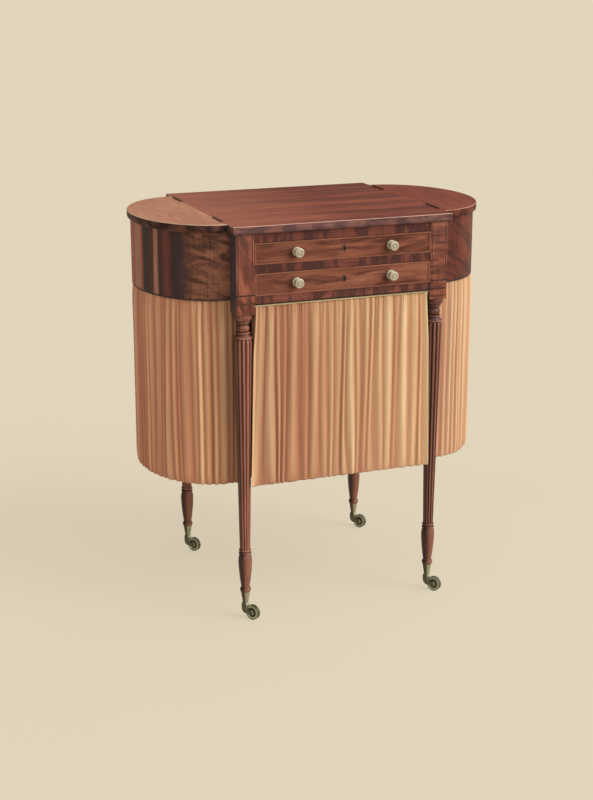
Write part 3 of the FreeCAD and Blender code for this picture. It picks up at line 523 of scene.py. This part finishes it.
def aged_metal(name, dark, bright, rough, metal=0.9, shade_share=0.0):
    """Metal whose brown film is patchy, with brighter metal showing through, and with painted shade
    on the side turned away from the light.
    """
    shader = Shader(name, rough=rough, metallic=metal)
    film = shader.noise(shader.stretched((420, 420, 420)), detail=4, rough=0.6)
    tone = shader.ramp(film, [(0.25, dark), (0.75, bright)])
    # Painted shade on the side turned away from the light.
    shade = shader.painted_light_by_side(LIGHT_SIDE, 0.45, shade_share)
    shader.set("Base Color", shader.mix(shade, tone, TARNISH_AND_SHADE))
    shader.set("Roughness", shader.ramp(film, [(0.3, rough + 0.2), (0.7, rough)]))
    shader.bump(film, 0.08, 0.3 * MM)
    return shader.material


def finish_nodes(names, material):
    """Give carried-over nodes their material."""
    for name in names:
        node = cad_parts[name]
        node.data.materials.clear()
        node.data.materials.append(material)


def dished_brass(wheel):
    """Rubbed brass, dark between a wheel's hub and rim by the distance from its axle: the length
    of the way from the wheel's middle that is left when its part along the axle is taken off."""
    shader = Shader(wheel + "_brass", rough=0.3, metallic=0.5)
    film = shader.noise(shader.stretched((420, 420, 420)), detail=4, rough=0.6)
    tone = shader.ramp(film, [(0.25, colour(172, 168, 134)), (0.75, colour(236, 232, 202))])
    low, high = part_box(wheel)
    off = shader.vectors("SUBTRACT", shader.place, (low + high) / 2)
    along = shader.vectors("PROJECT", off, AXLE_LINE)
    share = shader.math("DIVIDE", shader.vectors("DISTANCE", off, along, output="Value"),
                        WHEEL_RADIUS)
    dark = shader.ramp(share, [(0.30, 0.0), (0.36, 0.95), (0.64, 0.95), (0.70, 0.0), (0.92, 0.0),
                               (0.96, 0.85)])
    shader.set("Base Color", shader.mix(dark, tone, TARNISH_AND_SHADE))
    shader.bump(film, 0.08, 0.3 * MM)
    return shader.material


cup_brass = aged_metal("cup_brass", colour(148, 144, 114), colour(208, 202, 170), 0.24, metal=0.6,
                       shade_share=0.86)
horn_brass = aged_metal("horn_brass", colour(176, 172, 144), colour(236, 232, 206), 0.24,
                        metal=0.6, shade_share=0.8)
iron = aged_metal("lock_iron", colour(48, 44, 42), colour(88, 82, 76), 0.5)
finish_nodes(["caster_cups"], cup_brass)
for corner in LEG_PLACES:
    wheel = corner + "_caster_wheel"
    finish_nodes([wheel], dished_brass(wheel))
    finish_nodes([corner + "_caster_horn"], horn_brass)
    finish_nodes([corner + "_caster_axle"], iron)


# Rails between the front legs and the rail that slides out with the bag: mahogany cut across
# its figure, so that dark and red patches follow each other along it. The back board is plain.
RAIL_TONES = (colour(90, 49, 43), colour(128, 72, 60), colour(154, 92, 76))
RAIL_LINE = 600.6 * MM


def patches(shader, tone):
    """Upright dark patches of uneven width along the rail."""
    blocks = shader.noise(shader.stretched((62, 40, 16), shift=(5, 0, 0)), detail=2, twist=0.3)
    return shader.mix(shader.ramp(blocks, [(0.44, 0.0), (0.56, 0.72)]), tone, colour(60, 40, 39))


def lower_rail_figure(shader, tone):
    """The same patches above a painted shadow line along the lower edge."""
    tone = patches(shader, tone)
    # A painted shadow line along the lower edge of the rail.
    foot = shader.within(shader.axis(2), 0.5, RAIL_LINE)
    return shader.mix(foot, tone, colour(38, 27, 27))


finish_nodes(["top_rail", "divider_rail"],
             wood("rail_mahogany", *RAIL_TONES, streak=50, figure=patches))
finish_nodes(["lower_rail"], wood("lower_rail_mahogany", *RAIL_TONES, streak=50,
                                  figure=lower_rail_figure))
finish_nodes(["back_panel"], wood("back_mahogany", colour(80, 43, 36), colour(112, 63, 51),
                                  colour(134, 82, 66), streak=30, contrast=1.2))


# Aprons: thin curved walls of the wings, veneered in mahogany with a black lower edge. On the
# left one upright bands of painted reflection in red, tan and black give way to an amber mottle
# near the front leg, and the right one has dark slanting flames on red.
WING_CENTRE = 210 * MM
WING_REACH = 120 * MM
WING_HALF = 165 * MM
APRON_EDGE = 606.6 * MM
APRON_BLACK = colour(58, 52, 57)
APRON_BROWN = colour(90, 60, 52)


def way_round(shader, side):
    """Share of the way round a wing from its back to its front, from 0 to 1."""
    outward = shader.math("SUBTRACT", shader.times(shader.axis(0), side), WING_CENTRE)
    along = shader.math("SUBTRACT", shader.axis(1), CASE_SHIFT)
    turn = shader.math("ARCTAN2", shader.math("DIVIDE", along, -WING_HALF),
                       shader.math("DIVIDE", outward, WING_REACH))
    place = shader.math("ADD", shader.times(turn, 0.9 / math.pi), 0.5)
    wave = shader.noise(shader.stretched((34, 34, 3)), detail=3)
    wave = shader.math("SUBTRACT", wave, 0.5)
    return shader.math("ADD", place, shader.times(wave, 0.016))


def veneered(shader, side, plain, tone):
    """The veneer with its black lower edge, only where the surface faces away from the wing's
    middle: inside, the wall is plain."""
    tone = shader.mix(shader.within(shader.axis(2), 0.5, APRON_EDGE, 0.4 * MM), tone, APRON_BLACK)
    off = shader.add("Mapping", Vector=shader.place, Scale=(1, 1, 0),
                     Location=(-side * WING_CENTRE, -CASE_SHIFT, 0))
    facing = shader.vectors("DOT_PRODUCT", off, shader.normal, output="Value")
    outside = shader.add("MapRange", Value=facing, From_Min=-1 * MM, From_Max=1 * MM)
    return shader.mix(outside, plain, tone)


def banded(shader, plain):
    """Upright bands of painted reflection, then a mottle of amber and brown."""
    place = way_round(shader, -1)
    red, tan, purple = colour(200, 98, 74), colour(208, 146, 125), colour(126, 72, 70)
    back_red = colour(142, 78, 62)
    # Bands of painted reflection round the wing.
    bands = shader.ramp(place, [
        (0.05, APRON_BROWN), (0.22, back_red), (0.36, APRON_BROWN), (0.42, red), (0.488, red),
        (0.510, tan), (0.545, tan), (0.560, red), (0.572, APRON_BLACK), (0.600, APRON_BLACK),
        (0.618, APRON_BROWN), (0.630, APRON_BROWN), (0.638, tan), (0.652, tan),
        (0.662, APRON_BLACK), (0.676, APRON_BROWN), (0.690, purple), (0.708, purple),
        (0.726, APRON_BLACK), (0.76, colour(68, 60, 64)), (0.80, APRON_BROWN),
        (0.99, APRON_BROWN)])
    tone = shader.mix(0.86, plain, bands)
    flame = shader.noise(shader.stretched((15, 15, 42), turn=(0, -0.25, 0)), detail=6, rough=0.66,
                         twist=0.8)
    near_leg = shader.ramp(place, [(0.76, 0.0), (0.82, 1.0)])
    amber_share = shader.times(near_leg, shader.ramp(flame, [(0.42, 0.0), (0.58, 0.95)]))
    tone = shader.mix(amber_share, tone, colour(161, 106, 83))
    light_share = shader.times(near_leg, shader.ramp(flame, [(0.58, 0.0), (0.74, 0.6)]))
    return veneered(shader, -1, plain, shader.mix(light_share, tone, colour(204, 146, 114)))


def flamed(shader, plain):
    """Dark flames that rise outwards across red wood, darkest towards the round end."""
    flame = shader.noise(shader.stretched((9, 9, 46), turn=(0, -0.55, 0), shift=(1, 2, 4)),
                         rough=0.6, twist=0.7)
    dark = shader.ramp(flame, [(0.44, 0.85), (0.58, 0.0)])
    end = shader.ramp(way_round(shader, 1), [(0.55, 0.6), (0.78, 0.0)])
    tone = shader.mix(shader.math("MAXIMUM", dark, end), plain, colour(76, 43, 40))
    return veneered(shader, 1, plain, tone)


for name, figure in (("left_apron", banded), ("right_apron", flamed)):
    finish_nodes([name], wood(name + "_mahogany", colour(84, 42, 36), colour(116, 60, 48),
                              colour(142, 80, 62), grain="z", streak=30, clouds=0.1,
                              figure=figure))


# Top: a fixed centre board with long dark streaks from side to side, and two lids whose grain
# runs from front to back; the left lid's light tan is a painted sheen. All have a dark moulded
# edge under a painted highlight along the arris, and dull brass hinges are let into them.
TOP_HEIGHT = 740 * MM
ARRIS = 1.2 * MM
SEAM_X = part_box("centre_top")[0].x + 3 * MM
PALE_START, PALE_END = 40 * MM, -220 * MM


def moulded_edge(node, dark_tone, red_tone, arris_highlight, inner=None):
    """Dark and red patches along the edge, a painted highlight along the arris, and on the faces an
    own figure.
    """
    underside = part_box(node)[0].z + 0.3 * MM

    def figure(shader, tone):
        up = shader.axis(2)
        if inner is not None:
            tone = inner(shader, tone)
        blocks = shader.noise(shader.stretched((34, 34, 60)), detail=2)
        edge_tone = shader.ramp(blocks, [(0.44, dark_tone), (0.60, red_tone)])
        edge = shader.within(up, underside, TOP_HEIGHT - ARRIS, 0.2 * MM)
        tone = shader.mix(edge, tone, edge_tone)
        # Painted highlight along the arris.
        arris = shader.within(up, TOP_HEIGHT - ARRIS, TOP_HEIGHT - 0.15 * MM, 0.1 * MM)
        return shader.mix(shader.times(arris, 0.85), tone, arris_highlight)

    return figure


def broad_bands(shader, tone):
    """Wide soft bands from side to side, a paler left part, and painted shade with dirt dark in the
    left seam.
    """
    band = shader.noise(shader.stretched((1.6, 21, 21), shift=(0, 3, 0)), detail=5, rough=0.7,
                        twist=0.3)
    tone = shader.mix(shader.ramp(band, [(0.40, 0.9), (0.58, 0.0)]), tone, colour(100, 47, 36))
    # Painted shade with dirt in the left seam.
    gap = shader.within(shader.axis(0), -1, SEAM_X, 0.5 * MM)
    tone = shader.mix(shader.times(gap, 0.8), tone, colour(60, 38, 38))
    tone_across = shader.add("MapRange", Value=shader.axis(0), From_Min=PALE_START, From_Max=PALE_END,
                       To_Max=0.6)
    return shader.mix(tone_across, tone, colour(190, 122, 98))


finish_nodes(["centre_top"],
             wood("top_mahogany", colour(122, 55, 39), colour(147, 73, 52), colour(167, 91, 66),
                  streak=40, contrast=1.8, clouds=0.2, coat=0, shine=0.06,
                  figure=moulded_edge("centre_top", colour(99, 75, 77), colour(141, 99, 91),
                                      colour(222, 184, 170), broad_bands)))
# The left lid's light tan tones are a painted sheen of the light.
finish_nodes(["left_lid"],
             wood("left_lid_sheen_mahogany", colour(172, 113, 87), colour(197, 138, 109),
                  colour(211, 159, 127), grain="y", streak=12, contrast=0.65, coat=0, shine=0.1,
                  figure=moulded_edge("left_lid", colour(48, 34, 35), colour(112, 72, 62),
                                      colour(232, 208, 184))))
finish_nodes(["right_lid"],
             wood("right_lid_mahogany", colour(116, 49, 34), colour(141, 68, 47),
                  colour(158, 84, 59), grain="y", streak=16, clouds=0.3, coat=0, shine=0.06,
                  figure=moulded_edge("right_lid", colour(86, 50, 43), colour(120, 70, 58),
                                      colour(200, 150, 130))))
finish_nodes(["hinge_fixed_leaves", "left_lid_leaves", "right_lid_leaves", "hinge_pins"],
             aged_metal("hinge_brass", colour(112, 68, 54), colour(160, 108, 84), 0.45, metal=0.2))


# Drawers: fronts of figured mahogany inside a fine lighter bead, on frames of plain pale wood.
# The same pale wood makes the walls, floors and runners that are seen only when opened. Each
# front has an iron lock behind a dull brass plate.
KNOB_RADIUS = 8.75 * MM
KNOB_SHADOW_RADIUS = 14 * MM
KNOB_SHADOW_SHIFT = 6 * MM
BEAD_PLANE = -192.9 * MM
SHADE_START, SHADE_END = -60 * MM, -170 * MM


def bead_and_flame(shader, tone):
    """Flowing streaks that dip and rise across the front, painted shade towards the left end, a
    painted shadow of each knob to its left and below it, and the proud bead round it all."""
    flow = shader.noise(shader.stretched((9, 60, 52), turn=(0, 0.12, 0), shift=(2, 0, 7)), detail=4,
                        twist=1.2)
    tone = shader.mix(shader.ramp(flow, [(0.47, 0.0), (0.62, 0.85)]), tone, colour(84, 45, 36))
    pale = shader.noise(shader.stretched((7, 60, 44), turn=(0, -0.1, 0), shift=(6, 0, 1)), detail=4,
                        twist=1.2)
    tone = shader.mix(shader.ramp(pale, [(0.52, 0.0), (0.66, 0.75)]), tone, colour(166, 104, 78))
    shade = shader.add("MapRange", Value=shader.axis(0), From_Min=SHADE_START,
                       From_Max=SHADE_END, To_Max=0.42)
    tone = shader.mix(shade, tone, colour(84, 42, 32))
    for drawer in ("upper", "lower"):
        low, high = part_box(drawer + "_knobs")
        sideways = shader.math("ABSOLUTE", shader.math("ADD", shader.axis(0), KNOB_SHADOW_SHIFT))
        sideways = shader.math("SUBTRACT", sideways, (high.x - low.x) / 2 - KNOB_RADIUS)
        middle = (low.z + high.z) / 2
        upwards = shader.math("SUBTRACT", shader.axis(2), middle - KNOB_SHADOW_SHIFT * 0.5)
        away = shader.math("SQRT", shader.math("ADD", shader.times(sideways, sideways),
                                               shader.times(upwards, upwards)))
        # Painted shadow of the knob, to its left and below it.
        knob_shadow = shader.add("MapRange", Value=away, From_Min=KNOB_SHADOW_RADIUS,
                           From_Max=KNOB_SHADOW_RADIUS * 0.3, To_Max=0.7)
        tone = shader.mix(knob_shadow, tone, colour(58, 32, 28))
    bead = shader.within(shader.axis(1), -1, BEAD_PLANE, 0.15 * MM)
    return shader.mix(shader.times(bead, 0.68), tone, colour(160, 104, 83))


finish_nodes(["upper_drawer_front", "lower_drawer_front"],
             wood("front_mahogany", colour(110, 61, 49), colour(142, 85, 66), colour(165, 106, 83),
                  streak=46, turn=(0, 0.06, 0), contrast=1.2, clouds=0.3, figure=bead_and_flame))
finish_nodes(["left_side_panel", "right_side_panel", "wing_floors", "drawer_runners",
              "upper_drawer_sides", "upper_drawer_back", "upper_drawer_bottom",
              "lower_drawer_sides", "lower_drawer_back", "till", "bag_sides", "bag_floor"],
             wood("plain_pine", colour(150, 108, 66), colour(178, 136, 88), colour(198, 160, 110),
                  grain="y", streak=30, rough=0.6, coat=0))
finish_nodes(["pale_strip"],
             wood("pale_strip_wood", colour(190, 166, 124), colour(216, 196, 154),
                  colour(228, 212, 174), streak=40, clouds=0.1))
finish_nodes(["upper_lock", "lower_lock", "upper_lock_bolt", "lower_lock_bolt", "upper_knob_bolts",
              "lower_knob_bolts"], iron)
finish_nodes(["upper_escutcheon", "lower_escutcheon"],
             aged_metal("escutcheon_brass", colour(66, 44, 36), colour(104, 72, 54), 0.45,
                        metal=0.4))


# Knobs: turned ivory with a foot, a waist and a wide head that has rings cut in its face, each
# held by an iron bolt from behind.
KNOB_REACH = 18 * MM
FRONT_PLANE = -192.5 * MM
KNOB_X = 91 * MM
KNOB_COLUMNS = 64
# Rows of the profile: share of the radius, and share of the reach from the foot to the face.
KNOB_PROFILE = (
    (0.00, 0.00), (0.94, 0.00), (0.98, 0.03), (0.97, 0.10), (0.90, 0.16), (0.62, 0.19),
    (0.54, 0.24), (0.50, 0.34), (0.53, 0.46), (0.70, 0.54), (0.90, 0.62), (0.99, 0.72),
    (1.00, 0.79), (0.95, 0.88), (0.86, 0.93), (0.76, 0.95), (0.69, 0.93), (0.64, 0.89),
    (0.58, 0.90), (0.54, 0.95), (0.47, 0.975), (0.40, 0.955), (0.36, 0.92), (0.30, 0.93),
    (0.26, 0.98), (0.17, 1.00), (0.00, 1.00))
CUT_ROWS = (5, 6, 17, 22, 23)


def ivory():
    """Pale greenish cream, browner in the cut rings, under a soft polish."""
    shader = Shader("knob_ivory", rough=0.3, coat_weight=0.3, coat_roughness=0.2)
    tone = shader.noise(shader.stretched((90, 90, 90)), detail=4)
    tone = shader.ramp(tone, [(0.35, colour(190, 180, 155)), (0.65, colour(214, 206, 184))])
    cut = shader.times(shader.attribute("cut"), 0.8)
    tone = shader.mix(cut, tone, colour(120, 104, 76))
    shader.set("Base Color", tone)
    shader.set("Subsurface Weight", 0.1)
    shader.set("Subsurface Radius", (2 * MM, 1.4 * MM, 0.8 * MM))
    return shader.material


def make_knobs(drawer, body, material):
    """Profile turned about an axis that points to the front, once on each side."""
    low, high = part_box(drawer + "_knobs")
    middle = (low.z + high.z) / 2
    profile = np.array(KNOB_PROFILE)
    rows = len(profile)
    angle = np.arange(KNOB_COLUMNS) * 2 * math.pi / KNOB_COLUMNS
    radius = profile[:, :1] * KNOB_RADIUS
    reach = np.broadcast_to(-profile[:, 1:] * KNOB_REACH, (rows, KNOB_COLUMNS))
    points = np.stack([radius * np.cos(angle), reach, radius * np.sin(angle)], axis=2)
    both = np.stack([points + (side * KNOB_X, FRONT_PLANE, middle) for side in (-1, 1)])
    faces = grid_faces(rows, KNOB_COLUMNS, round_it=True)
    faces = np.concatenate([faces, faces + rows * KNOB_COLUMNS])
    knobs = add_object(drawer + "_turned_knobs", both, faces, material, crease=50)
    add_layer(knobs, "cut", np.tile(np.repeat(np.isin(np.arange(rows), CUT_ROWS), KNOB_COLUMNS), 2))
    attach(knobs, body)
    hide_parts(drawer + "_knobs")


knob_ivory = ivory()
make_knobs("upper", "upper_drawer", knob_ivory)
make_knobs("lower", "bag_drawer", knob_ivory)


# Bags: gold cloth gathered in uneven upright folds, nailed behind the aprons and under the
# strip, and turned in under the floors of the bags.
FOLD_DEPTH = 4.6 * MM
CLOTH_INSET = 0.3 * MM
CLOTH_THICKNESS = 0.8 * MM
GATHER_DROP = 26 * MM
GATHER_SHARE = 0.12
HEM_RISE = 14 * MM
HEM_WAVE = 1 * MM
HEM_TUCK = 1 * MM
HEM_LIFT = 0.4 * MM
HEM_INWARD = (0.03, 0.10, 0.5, 0.97)
SWAY_PARTS = (0.55, 0.4, 0.3)
FOLD_SKEW = (0.75, 1.35)
FOLD_POWER = (0.9, 2.2)
FOLD_DEEP = (0.35, 1)
FOLD_CHANGE = (-0.45, 0.45)
CORNER_SHARE = 0.014
CORNER_REACH = (2.4, 1.2)
CORNER_PUSH = 4.2 * MM
CORNER_FLARE = 4.2 * MM
RAIL_END = 14 * MM
PUSH_END = 84 * MM
WING_END = 30 * MM
WING_FULLNESS = 4.5 * MM
WING_SHARES = (0.27, 0.72, 1, 0.78)
WING_TURNED_UNDER = 60 * MM
WING_TUCK_X = 186 * MM
BAG_HALF = 168.6 * MM
BAG_RADIUS = 3 * MM
BAG_FRONT = -191 * MM
RETURN_END = -161 * MM
RETURN_SHARE = 0.078
FRONT_SPREAD = 2.6 * MM
FRONT_SHARES = (0, 0.12, 1, 0.8)
ACROSS_HALF = 340 * MM


def plan_line(corners, spread, count):
    """Evenly spaced places along a line in plan, how far each may spread, and the outward
    direction there, which is the line's own direction turned a quarter to the right."""
    steps = np.linalg.norm(np.diff(corners, axis=0), axis=1)
    along = np.concatenate([[0], np.cumsum(steps)])
    at = np.linspace(0, along[-1], count)
    place, spread = (np.stack([np.interp(at, along, values[:, index]) for index in (0, 1)], axis=1)
                     for values in (corners, spread))
    direction = np.gradient(place, axis=0)
    direction /= np.linalg.norm(direction, axis=1, keepdims=True)
    return place, spread, np.stack([direction[:, 1], -direction[:, 0]], axis=1)


def fold_pattern(draw, folds, across, down):
    """How far the cloth stands out at each place, the bare rise of its folds and a number for
    each fold's tint, all from 0 to 1. Across a fold the cloth rises as the sine of the way
    across, raised to a power of its own, so that crests are round and some hollows sharp. The
    folds differ in width and depth, lean a little, and carry fine gathers under the rail."""
    free = 1 - np.abs(2 * across - 1) ** 12
    lean = sum(share * np.sin(2 * math.pi * (turns * across + start + 0.35 * down))
               for share, turns, start in zip(SWAY_PARTS, draw.uniform(2, 9, 3),
                                              draw.uniform(0, 1, 3)))
    swayed = across + free * (down - 0.15) * 0.5 * lean / folds

    def waves(count, unevenness):
        widths = 1 + unevenness * draw.uniform(-1, 1, count)
        marks = np.concatenate([[0], np.cumsum(widths)]) / widths.sum()
        way = np.interp(swayed, marks, np.arange(count + 1))
        index = np.clip(way.astype(int), 0, count - 1)
        return index, way - index

    index, way = waves(folds, 0.55)
    skew = draw.uniform(*FOLD_SKEW, folds)[index]
    power = draw.uniform(*FOLD_POWER, folds)[index]
    rise = np.sin(math.pi * way ** skew) ** power
    deep = draw.uniform(*FOLD_DEEP, folds)[index]
    change = draw.uniform(*FOLD_CHANGE, folds)[index]
    deep = np.clip(deep * (1 + change * (2 * down - 1)), 0.2, 1)
    fine_way = waves(folds * 2 + 3, 0.6)[1]
    fine = np.sin(math.pi * fine_way) * np.exp(-down / GATHER_SHARE) * 0.28
    crest = rise * deep * (0.55 + 0.45 * grown(down, 0, GATHER_SHARE)) + fine
    crest = np.clip(crest, 0, 1) * (1 - 0.45 * grown(down, 0.95, 1))
    return crest, rise, draw.uniform(0, 1, folds)[index]


def turned_in(hem, outward, bottom, centre):
    """Rows that carry the hem in under the floor: a little way along the inside, or for a wing
    as far as its centre."""
    if centre is None:
        inward = np.linspace(0, 1, 5)[1:, None, None]
        under = hem - inward * HEM_TUCK * outward
    else:
        inward = np.array(HEM_INWARD)[:, None, None]
        under = hem * (1 - inward) + np.array(centre) * inward
    low = np.full((*under.shape[:2], 1), bottom + HEM_LIFT)
    return np.concatenate([under, low], axis=2)


def gathered_cloth(name, plan, bottom, top, folds, seed, columns, centre=None, corner=None):
    """Cloth hung in folds along a line in plan: each place lies behind the line by what its
    fold leaves of the fold depth, and the line spreads on the way down. The rows are closest
    together near the top and the hem, where the folds change most. Where the line turns a
    corner the cloth is drawn over it, stands out fully and, below the rail, is pushed out to
    that side and flares down to the hem. The return behind the corner is given the painted
    highlight tone of a crest against its shade. Also gives the gathered length at half the height."""
    draw = np.random.default_rng(seed)
    place, spread, outward = plan_line(*plan[:2], columns)
    across = np.linspace(0, 1, columns)[None, :]
    drop = np.concatenate([np.linspace(0, 0.06, 7), np.linspace(0.09, 0.96, 26),
                           np.linspace(0.972, 1, 5)])
    down = drop[:, None]
    length = top - bottom
    crest, rise, tint = fold_pattern(draw, folds, across, down)
    shown = crest
    height = top - length * down + (1 - rise) * HEM_WAVE * grown(down, 0.9, 1)
    shares = np.interp(drop, (0, GATHER_DROP / length, 1 - HEM_RISE / length, 1), plan[2])
    line = place + shares[:, None, None] * spread
    if corner is not None:
        from_corner = (np.minimum(across, 1 - across) - corner) / CORNER_SHARE
        crest = np.maximum(crest, 0.9 * np.exp(-from_corner ** 2))
        # The return behind the corner takes the crest's painted highlight tone.
        shown = np.where(from_corner < 0, np.maximum(crest, 0.95), crest)
        pushed = (CORNER_PUSH * grown(top - height, RAIL_END, PUSH_END) ** 1.3
                  + CORNER_FLARE * grown(top - height, PUSH_END, length))
        reach = np.where(from_corner > 0, *CORNER_REACH)
        side = np.sign(across - 0.5) * np.exp(-(from_corner / reach) ** 2)
        line = line + (pushed * side)[:, :, None] * (1, 0)
    inset = CLOTH_INSET + CLOTH_THICKNESS / 2 + FOLD_DEPTH * (1 - crest)
    wall = np.concatenate([line - inset[:, :, None] * outward, height[:, :, None]], axis=2)
    points = np.concatenate([wall, turned_in(wall[-1, :, :2], outward, bottom, centre)])
    rows = len(points)
    cloth = add_object(name, points, grid_faces(rows, columns)[:, ::-1], cloth_material, crease=180)
    for layer, values in (("fold", shown), ("tint", tint)):
        hidden = np.repeat(values[-1:], rows - len(values), axis=0)
        add_layer(cloth, layer, np.concatenate([values, hidden]))
    thick = cloth.modifiers.new("thickness", "SOLIDIFY")
    thick.thickness = CLOTH_THICKNESS
    thick.offset = 0
    middle = wall[len(wall) // 2]
    return cloth, float(np.linalg.norm(np.diff(middle, axis=0), axis=1).sum())


def gold_cloth():
    """Plain woven cloth, golden with painted highlights on its crests and rose-brown with painted
    shade in its hollows, painted darker on the left of the table than on the right as the light
    falls off, with a painted shadow beside the front left leg, streaks down the folds, a fine weave
    as a bump and a soft sheen."""
    shader = Shader("gold_cloth", rough=0.85, specular=0.15, sheen_weight=0.2, sheen_roughness=0.5)
    fold = shader.attribute("fold")
    tint = shader.attribute("tint")
    # Painted highlight on the crests and painted shade in the hollows.
    tone = shader.ramp(fold, [(0.0, colour(211, 157, 126)), (0.35, colour(228, 183, 145)),
                              (0.7, colour(241, 203, 160)), (1.0, colour(252, 221, 180))])
    rose = shader.mix(1.0, tone, (0.87, 0.74, 0.72), blend="MULTIPLY")
    zones = shader.noise(shader.stretched((16, 16, 1.2)), detail=2)
    share = shader.math("ADD", shader.times(tint, 0.4), shader.times(zones, 0.6))
    tone = shader.mix(shader.ramp(share, [(0.38, 0.95), (0.60, 0.0)]), tone, rose)
    across = shader.add("MapRange", Value=shader.axis(0), From_Min=-ACROSS_HALF,
                        From_Max=ACROSS_HALF)
    # Painted light across the table: darker on the left, a painted shadow beside the front left
    # leg, lighter to the right.
    tone_across = shader.ramp(across, [(0.0, (0.97, 0.74, 0.76)), (0.122, (0.99, 0.92, 0.91)),
                                 (0.145, (0.70, 0.57, 0.54)), (0.236, (0.62, 0.51, 0.48)),
                                 (0.238, (0.90, 0.84, 0.80)), (0.250, (0.80, 0.72, 0.69)),
                                 (0.262, (0.65, 0.56, 0.545)), (0.5, (0.79, 0.76, 0.735)),
                                 (0.745, (0.97, 1.04, 1.02)), (0.76, (0.87, 0.86, 0.88))])
    tone = shader.mix(1.0, tone, tone_across, blend="MULTIPLY")
    streak = shader.noise(shader.stretched((230, 230, 7)), detail=4, rough=0.6)
    streak = shader.ramp(streak, [(0.3, (0.84, 0.80, 0.78)), (0.7, (1.06, 1.05, 1.02))])
    tone = shader.mix(1.0, tone, streak, blend="MULTIPLY")
    shader.set("Base Color", tone)
    weave = shader.noise(shader.stretched((1500, 1500, 700)), detail=2)
    shader.bump(weave, 0.12, 0.3 * MM)
    return shader.material


def wing_plan(side):
    """Line round a wing, from the straight wall at one end, round the half ellipse, to the
    other end, always with the outside on the right. Its spread pulls the round end outwards."""
    turn = np.linspace(-math.pi / 2, math.pi / 2, 181)
    line = np.stack([WING_CENTRE + WING_REACH * np.cos(turn), WING_HALF * np.sin(turn)], axis=1)
    pull = np.stack([WING_FULLNESS * np.cos(turn), 0 * turn], axis=1)
    ends = np.array([(WING_CENTRE - WING_END, -WING_HALF), (WING_CENTRE - WING_END, WING_HALF)])
    line = np.concatenate([ends[:1], line, ends[1:]]) * (side, 1) + (0, CASE_SHIFT)
    pull = np.pad(pull, ((1, 1), (0, 0))) * (side, 1)
    return line[::side], pull[::side], WING_SHARES


def front_plan():
    """Line round the front of the deep bag, with rounded corners and short returns. Its spread
    widens it to both sides."""
    turn = np.linspace(0, math.pi / 2, 9)
    corner = np.stack([BAG_HALF - BAG_RADIUS * (1 - np.sin(turn)),
                       BAG_FRONT + BAG_RADIUS * (1 - np.cos(turn))], axis=1)
    right = np.concatenate([[(0, BAG_FRONT)], corner, [(BAG_HALF, RETURN_END)]])
    line = np.concatenate([right[:0:-1] * (-1, 1), right])
    widened = FRONT_SPREAD * np.clip(line[:, 0] / (BAG_HALF - BAG_RADIUS), -1, 1)
    return line, widened[:, None] * (1, 0), FRONT_SHARES


def back_plan():
    """Straight line behind the deep bag, from its right end to its left one."""
    low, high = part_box("bag_back")
    line = np.array([(high.x, high.y), (low.x, high.y)])
    return line, 0 * line, FRONT_SHARES


def hang_bag(node, body, plan, rests_on, turned_under=0, **cloth):
    """Cloth in place of a bag."""
    low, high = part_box(node)
    bag, flat_width = gathered_cloth(node + "_cloth", plan, low.z, high.z, **cloth)
    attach(bag, body)
    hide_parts(node)


cloth_material = gold_cloth()
for side, name, seed in ((-1, "left", 11), (1, "right", 23)):
    hang_bag(name + "_bag", "case", wing_plan(side), [name + "_apron", "wing_floors"],
             WING_TURNED_UNDER, folds=36, seed=seed, columns=900,
             centre=(side * WING_TUCK_X, CASE_SHIFT))
hang_bag("bag_front", "bag_drawer", front_plan(), ["pale_strip", "bag_floor"], folds=27, seed=5,
         columns=860, corner=RETURN_SHARE)
hang_bag("bag_back", "bag_drawer", back_plan(), ["lower_drawer_back", "bag_floor"], folds=30,
         seed=8, columns=700)
